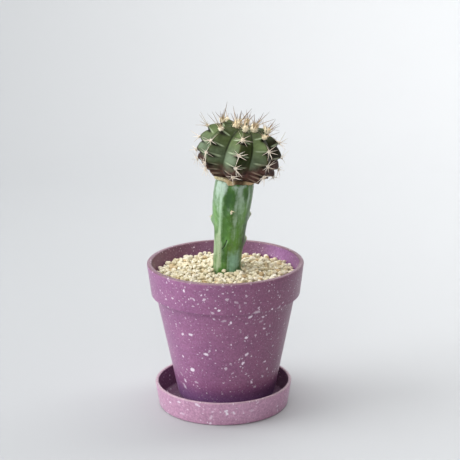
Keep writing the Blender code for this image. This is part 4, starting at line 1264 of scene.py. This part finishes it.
# %% All the spines
def make_spines(finish):
    """All the spines of the globe in one piece."""
    rng = random.Random(3)
    shape = Shape()
    for rib, k, t, root, normal, up, across in areole_frames():
        young = max(0.0, 1.0 - t / 60.0)
        tips = SPINE_TIPS.get((rib, k), ())
        for x, y, length in tips:
            spot = root + across * rng.uniform(-0.5, 0.5) + up * rng.uniform(-0.5, 0.5)
            run = tip_in_picture(spot, normal, x, y, length) - spot
            curve = -normal * rng.uniform(0.0, 0.10) + across * rng.uniform(-0.04, 0.04)
            radius = (SPINE_RADIUS + 0.22 * young) * rng.uniform(0.85, 1.15)
            aim = clear_of_stem(spot, run / run.length - curve, run.length)
            needle(shape, spot, aim, curve, run.length, radius, young=young, tone=rng.random())
        for angle in SPRAY:
            a = math.radians(angle + rng.uniform(-14, 14))
            rise = math.radians(30 + 40 * young + rng.uniform(-8, 8))
            flat = up * math.cos(a) + across * math.sin(a)
            aim = (flat * math.cos(rise) + normal * math.sin(rise)).normalized()
            length = (rng.uniform(6.5, 9.5) + 6.0 * young) * (0.75 if tips else 1.0)
            curve = (flat * 0.10 - normal * rng.uniform(0.02, 0.14)) * rng.uniform(0.6, 1.4)
            radius = SPINE_RADIUS * rng.uniform(0.8, 1.1)
            tone, lot = rng.random(), rng.random()
            if lot > (0.22 if tips else 0.86) or (t < 22 and abs(angle) > 100):
                continue
            aim = clear_of_stem(root, aim, length)
            needle(shape, root, aim, curve, length, radius, young=young, tone=tone)
    return shape.make("scion_spines", finish, "head_skin", "scion")

# %% Spine finish
def spine_finish():
    """Pinkish cream when old, tan with an orange base and a grey-brown tip when young."""
    horn = Finish("spine_horn", roughness=0.5, ior=1.5)
    along, young, tone = (horn.value(name) for name in ("along", "young", "tone"))
    old = tone.mix((0.82, 0.68, 0.54), (0.95, 0.87, 0.75))
    old = along.ramp(0.75, 1.0, 0.0, 0.7).mix(old, (0.55, 0.40, 0.32))
    fresh = tone.mix((0.27, 0.175, 0.11), (0.44, 0.30, 0.20))
    fresh = along.ramp(0.05, 0.60, 1.0, 0.0).mix(fresh, (0.96, 0.76, 0.46))
    fresh = along.ramp(0.60, 1.0, 0.0, 0.85).mix(fresh, (0.13, 0.09, 0.07))
    return horn.done(young.ramp(0.02, 0.40).mix(old, fresh),
                     horn.effect(RELIEF, 2500.0, 0.3, 0.3, 0.0001))


make_spines(spine_finish())

# %% [markdown]
# ## Wool
# Between skin and spines each areole has a cushion of felt: short, tangled, cream-coloured
# hairs. At the crown the cushions are large, fresh and fluffy, and further down small and
# duller. A lumpy body gives a cushion its mass, and many short bent hairs, lofted with three
# sides, break its outline. Blender's hair would look finer, but it does not leave Blender with the model.

# %% Wool cushions
def ball(subdivisions):
    """Points and faces of a unit ball made of even triangles."""
    shape = bmesh.new()
    bmesh.ops.create_icosphere(shape, subdivisions=subdivisions, radius=1.0)
    points = [v.co.copy() for v in shape.verts]
    faces = [tuple(v.index for v in f.verts) for f in shape.faces]
    shape.free()
    return points, faces


CORE, CORE_FACES = ball(3)


def hair(shape, start, aim, curl, length, thick, **values):
    """One short bent hair with three sides."""
    widths = [thick, thick * 0.625, thick * 0.25]
    blade(shape, start, aim, curl, length, widths, 3, 0.0, 0.05, **values)


def stray(rng, reach):
    """A random vector, with each coordinate up to reach."""
    return Vector(rng.uniform(-reach, reach) for _ in range(3))


def make_wool(finish):
    """A felt cushion at every areole of the globe."""
    rng = random.Random(21)
    shape = Shape()
    for rib, k, t, root, normal, up, across in areole_frames():
        young = max(0.0, 1.0 - t / 62.0)
        wide = rng.uniform(1.1, 1.45) + 1.15 * young
        long = rng.uniform(0.95, 1.35) + 2.0 * young
        tall = rng.uniform(0.55, 0.8) + 2.4 * young
        tone = rng.random()
        lumps = []
        for p in CORE:
            q = p * (1.0 + 0.45 * noise.noise(p * 1.7 + root) + 0.16 * noise.noise(p * 5 + root))
            lumps.append(root + across * q.x * wide + up * q.y * long + normal * tall * (q.z + 0.1))
        shape.add(lumps, CORE_FACES, along=[0.3 + 0.5 * max(p.z, 0.0) for p in CORE],
                  young=young, tone=tone)
        for _ in range(int(90 + 120 * young)):
            a, lean = rng.uniform(0, 2 * math.pi), math.sqrt(rng.random())
            out = across * math.cos(a) + up * math.sin(a)
            foot = across * math.cos(a) * wide + up * math.sin(a) * long
            start = root + foot * 0.95 * lean + normal * tall * (0.95 - 0.8 * lean)
            aim = (normal * (1.0 - 0.6 * lean) + out * lean + stray(rng, 0.7)).normalized()
            length = rng.uniform(0.4, 1.1) * (0.8 + 1.5 * young)
            hair(shape, start, aim, stray(rng, 0.7), length, 0.085, young=young,
                 tone=min(max(tone + rng.uniform(-0.35, 0.35), 0.0), 1.0))
    return shape.make("scion_wool", finish, "head_skin", "scion")

# %% Felt
def wool_finish():
    """Felt: warm cream when young, pinkish cream when old, tan at its base, partly its own colour and
    partly painted shade.
    """
    felt = Finish("areole_felt", roughness=0.9, sheen_weight=0.4)
    along, young, tone = (felt.value(name) for name in ("along", "young", "tone"))
    fresh = tone.mix((0.93, 0.77, 0.48), (1.0, 0.94, 0.75))
    old = tone.mix((0.84, 0.74, 0.60), (0.96, 0.92, 0.84))
    colour = young.ramp(0.0, 0.5).mix(old, fresh)
    # tan towards the base: partly the felt's own colour, partly painted shade
    return felt.done(along.ramp(0.0, 0.40, 0.4, 0.0).mix(colour, (0.66, 0.45, 0.22)),
                     felt.effect(RELIEF, 3000.0, 0.6, 0.6, 0.0002))


areole_felt = wool_finish()
make_wool(areole_felt)

# %% [markdown]
# ## The stem's own areoles
# On the stem's ribs the cushions are tiny, with a few short hooked spines. They are made with
# the same needle as above, and ride in a piece of their own because their finish differs from
# the skin's. A small nub beside the scar, a shoot that never grew, has the plain green finish
# that the stem's solid has in the frame.

# %% Stem areoles
def make_stem_areoles(finish):
    """Small cushions with stubby spines on the stem's ribs."""
    rng = random.Random(5)
    shape = Shape()
    up = Vector((0, 0, 1))
    spots = [(rib + stem_twist(z), z) for name, rib in STEM_RIBS.items()
             for z in STEM_AREOLES[name] if (name, z) != ("front", STEM_AREOLES["front"][0])]
    for angle, height in spots:
        root = stem_point(angle, height + 1.2)
        out = level(math.radians(angle))
        side = up.cross(out)
        lumps = [root + (side * (p.x * 0.6 - 0.3) + up * p.y * 1.2 + out * p.z * 0.45)
                 * (1.0 + 0.5 * noise.noise(p * 1.6 + root)) for p in CORE]
        shape.add(lumps, CORE_FACES, along=0.8, young=1.0, tone=0.8)
        for _ in range(60):
            a, lean = rng.uniform(0, 2 * math.pi), math.sqrt(rng.random())
            flat = side * math.cos(a) * 0.6 + up * math.sin(a)
            start = root - side * 0.3 + flat * 1.2 * lean + out * 0.4 * (1.0 - lean)
            aim = (out + flat * lean + stray(rng, 0.5)).normalized()
            hair(shape, start, aim, stray(rng, 0.5), rng.uniform(0.2, 0.6), 0.07,
                 young=1.0, tone=rng.uniform(0.4, 1.0))
        for turn, reach in ((-100, 1.3), (70, 2.0), (88, 3.0), (165, 1.6)):
            a = math.radians(turn + rng.uniform(-8, 8))
            flat = side * math.sin(a) + up * math.cos(a)
            aim = (flat * 0.9 + out * 0.4).normalized()
            needle(shape, root + up * 1.1, aim, out * -0.2 - up * 0.15, reach, 0.24,
                   young=1.0, tone=rng.random())
    return shape.make("rootstock_areoles", finish, "stem_skin", "rootstock")

# %% Nub
def make_nub(finish):
    """The small pale swelling beside the scar."""
    angle, height = NUB
    root = stem_point(angle, height, 0.5)
    out = level(math.radians(angle))
    side = Vector((-out.y, out.x, 0))
    shape = Shape()
    shape.add([root + side * (0.5 * p.x + 0.6 * p.y) + Vector((0, 0, p.y * 1.2)) + out * p.z * 0.7
               for p in CORE], CORE_FACES)
    return shape.make("rootstock_nub", finish, "stem_skin", "rootstock")


make_stem_areoles(areole_felt)
make_nub(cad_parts["rootstock"].data.materials[0])

# %% [markdown]
# ## The graft
# Where the two cut faces have grown together, the plant has healed with corky callus. It shows
# as a rough tan collar with a ragged lower edge that hangs over the stem in small scallops. It
# is lofted in rings round the tilted axis of the cut. A list says how far the edge hangs down in
# each direction, and noise adds the lumps.

# %% Callus
CALLUS_HANG = (                                # angle round the graft, and millimetres down
    (-200, 0.2), (-168, 1.6), (-152, 0.9), (-130, -0.6), (-118, 0.5), (-107, 3.3), (-97, 2.6),
    (-85, 0.2), (-70, 1.1), (-58, 0.3), (-45, 1.0), (-30, 0.2), (160, 0.2))
CALLUS_SIDES = 240
CALLUS_HIGH, CALLUS_LOW = -(HEAD_CUT + 0.15), -18.15   # from the globe's middle, along the cut's axis


def callus_hang(angle):
    """How far the lower edge hangs down at an angle round the graft, in millimetres."""
    about = level(math.radians(angle))
    ragged = 0.4 * noise.noise(about * 3.1 + Vector((5, 0, 0))) + 0.9 * noise.noise(about * 9.0)
    place = (angle + 200.0) % 360.0 - 200.0
    for (a, low), (b, high) in zip(CALLUS_HANG, CALLUS_HANG[1:]):
        if place <= b:
            return ragged + low + (high - low) * smooth_step(place, a, b)


def make_callus(finish):
    """The corky collar between stem and globe."""
    place = Matrix.Translation(HEAD_CENTRE) @ Matrix.Rotation(GRAFT_TILT, 4, "Y")
    high, low = CALLUS_HIGH, CALLUS_LOW
    profile = ((0.96, high, 0.0), (1.02, high - 0.1, 0.15), (1.06, high - 0.5, 0.5),
               (1.07, high - 1.0, 0.9), (1.06, low + 0.3, 1.0), (1.045, low - 0.1, 1.0),
               (1.02, low - 0.6, 0.9), (0.995, low - 1.0, 0.6), (0.970, low - 0.9, 0.3),
               (0.95, low, 0.0))
    rings = [[place @ Vector((0, 0, high))]]
    for share, z, loose in profile:
        ring = []
        for i in range(CALLUS_SIDES):
            a = 2 * math.pi * i / CALLUS_SIDES
            lump = 0.5 * noise.noise(level(a, 4.0, z * 0.4))
            lump += 0.3 * noise.noise(level(a, 11.0, z * 1.3))
            hanging = max(0.0, loose - 0.25) * callus_hang(math.degrees(a))
            hanging = hanging if z < low + 0.1 else 0.0
            r = UNION_RADIUS * share + lump * loose
            ring.append(place @ level(a, r, z - max(hanging, -0.8)))
        rings.append(ring)
    shape = Shape()
    shape.loft([*rings, [place @ Vector((0, 0, low))]])
    return shape.make("graft_union", finish, "callus", "graft_union")

# %% Cork
def callus_finish():
    """Corky and dry: pale cream on the left, browner in front, partly painted shade under the globe, and
    tan on the right, with painted shade in the cracks.
    """
    callus = Finish("callus", roughness=0.8)
    x = callus.axis("X")
    light = callus.effect(UNEVEN, (0.48, 0.40, 0.21), (0.80, 0.73, 0.48), 420.0, 0.2)
    brown = callus.effect(UNEVEN, (0.055, 0.030, 0.012), (0.19, 0.115, 0.050), 420.0, 0.2)
    light = x.ramp(-0.0015, 0.0015, 0.0, 0.6).mix(light, (0.52, 0.33, 0.15))
    # dark brown in front: partly the cork's colour, partly painted shade under the globe
    front = x.ramp(0.0062, 0.0082) * x.ramp(0.0125, 0.0165, 1.0, 0.15)
    cork = front.mix(light, brown)
    cork = x.ramp(0.0145, 0.0185, 0.0, 0.7).mix(cork, (0.80, 0.52, 0.29))
    relief = callus.effect(RELIEF, 1100.0, 0.6, 0.9, 0.0004)
    # painted shade: low places of the relief darkened
    crack_shade = relief["Height"].ramp(0.45, 0.7, 0.55, 1.0)
    shade = callus.add("CombineColor", {0: crack_shade, 1: crack_shade, 2: crack_shade})
    return callus.done(cork.times(shade), relief)


make_callus(callus_finish())

# %% [markdown]
# ## Gravel
# The top dressing is a loose layer of cream grains, about three to five millimetres long, each a
# worn angular lump. To lie like poured gravel, the grains have to rest on each other. Dropping
# them with the physics engine would take long, so each new grain is tried at a few random
# places, falls there until it touches what lies below, and keeps the lowest place. Only the
# grains that can be seen get the fine mesh.

# %% Pouring the grains
GRAVEL_EDGE, GRAVEL_MOUND = 103.0, 3.9         # height at the wall, and how much more at the stem
GRAIN_RADIUS = (1.35, 2.2)
POUR_DEPTH = 6.5                               # millimetres of loose grains
POUR_TRIES, POUR_MISSES = 9, 260               # places for each grain, and when to stop
GRAIN_SINK = 0.92                              # share of two radii at which grains touch
GRAINS_STAND_OUT = 0.75                        # how far a grain may rise over the surface
GRAIN_VARIANTS, GRAIN_FLATS = 14, 10
GRAINS_IN_A_PIECE = 600
SEEN_DEPTH = 3.1                               # grains whose top lies deeper get the coarse mesh
inner_wall = inside_radius(GRAVEL_EDGE) - 0.3


def gravel_surface(x, y):
    """Height of the gravel's top, mounded a little round the stem."""
    away = np.hypot(x, y) / inner_wall
    return GRAVEL_EDGE + GRAVEL_MOUND * np.maximum(0.0, 1.0 - away ** 1.5)


def pour_grains():
    """Places and radii of grains that rest on each other, up to the gravel's surface."""
    rng = random.Random(17)
    grains = np.zeros((4000, 4))
    count, misses = 0, 0
    while misses < POUR_MISSES and count < len(grains):
        radius = rng.uniform(*GRAIN_RADIUS)
        best = None
        for _ in range(POUR_TRIES):
            a, r = rng.uniform(0, 2 * math.pi), inner_wall * math.sqrt(rng.random())
            x, y = r * math.cos(a), r * math.sin(a)
            off_stem = round_stem(x, y, STEM_STRAIGHT - 0.001)[1]
            if r > inner_wall - radius * 0.95 or off_stem < radius * 0.8:
                continue
            surface = float(gravel_surface(x, y))
            z = surface - POUR_DEPTH + radius
            near = grains[:count]
            flat2 = (near[:, 0] - x) ** 2 + (near[:, 1] - y) ** 2
            reach2 = ((near[:, 3] + radius) * GRAIN_SINK) ** 2
            touching = near[flat2 < reach2]
            if len(touching):
                rest = touching[:, 2] + np.sqrt((reach2 - flat2)[flat2 < reach2])
                z = max(z, float(rest.max()))
            if best is None or z - surface < best[0]:
                best = (z - surface, x, y, z)
        if best is None or best[0] + radius > GRAINS_STAND_OUT:
            misses += 1
            continue
        grains[count] = (*best[1:], radius)
        count += 1
    return grains[:count]


poured = pour_grains()
print("grains poured:", len(poured))

# %% [markdown]
# A grain is a ball with flats pressed into it. Each flat pushes the points beyond a random
# plane back towards it, which leaves worn edges, and noise roughens the rest. Fourteen grains
# made this way, each turned and squeezed differently, are enough: no two look alike.

# %% Forms of grains
def grain_forms(subdivisions, rng):
    """Several worn angular lumps with a radius of about 1."""
    points, faces = ball(subdivisions)
    forms = []
    for k in range(GRAIN_VARIANTS):
        planes = []
        for _ in range(GRAIN_FLATS):
            direction = Vector(rng.gauss(0, 1) for _ in range(3)).normalized()
            planes.append((direction, rng.uniform(0.62, 0.92)))
        form = []
        for p in points:
            q = p * (1.12 + 0.16 * noise.noise(p * 1.4 + Vector((k, 0, 0))))
            for direction, limit in planes:
                q = q - direction * max(q.dot(direction) - limit, 0.0) * 0.88
            form.append(q * (1.0 + 0.05 * noise.noise(p * 5.0 + Vector((0, k, 0)))))
        forms.append(np.array(form))
    return forms, faces

# %% Pieces of grains
def grain_pieces(finish):
    """Fine grains on top, in pieces of a size that stays light, and coarse ones below."""
    rng = random.Random(29)
    top = poured[:, 2] + poured[:, 3] - gravel_surface(poured[:, 0], poured[:, 1])
    fine, rough = grain_forms(3, rng), grain_forms(2, rng)
    order = np.argsort(poured[:, 1])
    chosen, below = ([k for k in order if (top[k] > -SEEN_DEPTH) == seen_there]
                     for seen_there in (True, False))
    pieces = math.ceil(len(chosen) / GRAINS_IN_A_PIECE)
    size = math.ceil(len(chosen) / pieces)
    groups = [(f"gravel_grains_{i // size + 1}", chosen[i:i + size], *fine)
              for i in range(0, len(chosen), size)]
    for name, members, forms, faces in (*groups, ("gravel_grains_below", below, *rough)):
        shape = Shape()
        for k in members:
            x, y, z, radius = poured[k]
            squeeze = Vector((1.0, rng.uniform(0.78, 1.0), rng.uniform(0.66, 0.92)))
            turn = Matrix.Rotation(rng.uniform(0, 6.283), 3, "Z")
            turn = turn @ Matrix.Rotation(rng.uniform(-0.9, 0.9), 3, "X")
            shaped = np.array(turn @ Matrix.Diagonal(squeeze) * radius * 1.12)
            points = forms[rng.randrange(GRAIN_VARIANTS)] @ shaped.T + (x, y, z)
            shape.add(points.tolist(), faces, tone=rng.random(), warm=rng.random())
        shape.make(name, finish, "gravel", "gravel")

# %% Stone
def gravel_finish():
    """Dry porous stone, cream with a drift to yellow and to grey, and small dark pores."""
    stone = Finish("cream_gravel", roughness=0.85)
    pale = stone.value("tone").mix((0.76, 0.68, 0.47), (0.93, 0.89, 0.76))
    pale = stone.value("warm").ramp(0.84, 0.98).mix(pale, (0.62, 0.47, 0.27))
    mottle = stone.effect(UNEVEN, (0.86, 0.82, 0.74), (1.0, 1.0, 1.0), 900.0, 0.2)
    return stone.done(pale.times(mottle), stone.effect(RELIEF, 1300.0, 0.7, 0.8, 0.0003))


cream_gravel = gravel_finish()
grain_pieces(cream_gravel)

# %% [markdown]
# Under the grains lies a plain bed, so that no light falls through to the soil. It fills the
# gravel's solid up to a few millimetres below its surface, with a hole for the stem.

# %% Gravel bed
def make_bed(finish):
    """A ring of packed fine gravel below the separate grains."""
    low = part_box("gravel")[0].z / MM
    rows, sides, depth = 14, 120, 5.6
    centre_x, half = STEM_STATIONS[1][1:]
    rings = [ring_of(inside_radius(low) - 0.3, low, sides)]
    for row in range(rows + 1):
        ring = []
        for i in range(sides):
            a = 2 * math.pi * i / sides
            reach = half * stem_share(math.degrees(a), STEM_STRAIGHT) + 0.4
            inner = Vector((centre_x, STEM_Y, 0)) + level(a, reach)
            p = level(a, inner_wall - 0.2).lerp(inner, row / rows)
            lump = 0.8 * noise.noise(p * 0.45)
            ring.append((p.x, p.y, float(gravel_surface(p.x, p.y)) - depth + lump))
        rings.append(ring)
    rings.append([(p[0], p[1], low) for p in rings[-1]])
    shape = Shape()
    shape.loft(rings, closed=True, tone=0.2, warm=0.3)
    return shape.make("gravel_bed", finish, "gravel", "gravel")


make_bed(cream_gravel)

# %% [markdown]
# ## The soil
# Nothing of the potting mix shows from outside, except through the drain hole, so its solid
# stays as it is. It still gets the finish of damp crumbly soil.

# %% Soil
def soil_finish():
    """Dark crumbly potting mix."""
    soil = Finish("soil", roughness=0.95)
    return soil.done(soil.effect(UNEVEN, (0.022, 0.014, 0.009), (0.085, 0.055, 0.034), 600.0, 0.2),
                     soil.effect(RELIEF, 700.0, 0.8, 1.0, 0.001))


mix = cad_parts["potting_mix"]
mix.data.materials.clear()
mix.data.materials.append(soil_finish())

# %% [markdown]
# ## Floor and light
# The object stands on a pale floor that curves up into a backdrop, so no edge shows behind it.
# A large soft light from the left and one overhead are the main ones. A weak fill in front
# opens the shadows, and another lamp keeps the backdrop bright. The card is a shade darker on
# the left, where the left light is strongest, so that it looks even. The Standard view shows
# each colour as it was mixed, where Blender's own choice would make the bright ones paler.

# %% Floor
def make_floor():
    """A sweep of plain pale card: flat under the object and curved up behind it."""
    shape = bmesh.new()
    wide, behind, tall, curve = 3.0, 1.3, 2.2, 0.6
    outline = [(-2.0, 0.0), *bend((behind - curve, curve), curve, -90, 0, 24), (behind, tall)]
    rows = [[shape.verts.new((x, y, z)) for x in (-wide, wide)] for y, z in outline]
    for (a, b), (c, d) in zip(rows, rows[1:]):
        shape.faces.new((a, b, d, c))
    mesh = bpy.data.meshes.new("floor")
    shape.to_mesh(mesh)
    shape.free()
    mesh.shade_smooth()
    card = Finish("pale_card", roughness=0.7)
    shade = (card.axis("Y") * 0.25 + card.axis("X")).ramp(-0.35, 0.80)
    feed(card.inputs["Base Color"], shade.mix((0.42, 0.43, 0.44), (0.68, 0.69, 0.70)))
    mesh.materials.append(card.made)
    placed("floor", mesh)


make_floor()

# %% Lights
def soft_light(name, place, aim, size, power, colour=(1.0, 1.0, 1.0)):
    """A square area light that looks at a point."""
    data = bpy.data.lights.new(name, "AREA")
    data.shape = "SQUARE"
    data.size = size
    data.energy = power
    data.color = colour
    made = placed(name, data)
    made.location = place
    made.rotation_euler = (Vector(aim) - Vector(place)).to_track_quat("-Z", "Y").to_euler()


soft_light("left light", (-1.35, -0.15, 0.85), (0.0, 0.0, 0.1), 1.2, 17.0, (0.98, 0.99, 1.0))
soft_light("overhead", (-0.2, 0.1, 1.6), (0.0, 0.05, 0.0), 1.2, 17.0)
soft_light("front fill", (-0.25, -1.7, 1.0), (0.0, 0.0, 0.10), 1.0, 9.0, (1.0, 0.98, 0.95))
soft_light("backdrop light", (0.95, 0.55, 1.7), (0.65, 1.3, 0.9), 0.9, 16.0)
print("lights:", [light.name for light in bpy.data.lights])

# %% Surroundings
def studio_world():
    """Surroundings that are bright on the left and dim and warm on the right."""
    made = bpy.data.worlds.new("studio")
    made.use_nodes = True
    sky = Tree(made.node_tree)
    direction = sky.add("TexCoord")["Generated"]
    side = direction.vector("DOT_PRODUCT", (-0.93, -0.1, 0.35))["Value"]
    feed(made.node_tree.nodes["Background"].inputs["Color"],
         side.ramp(-0.3, 0.9).mix((0.030, 0.022, 0.018), (0.52, 0.54, 0.56)))
    return made


bpy.context.scene.world = studio_world()
bpy.context.scene.view_settings.view_transform = "Standard"
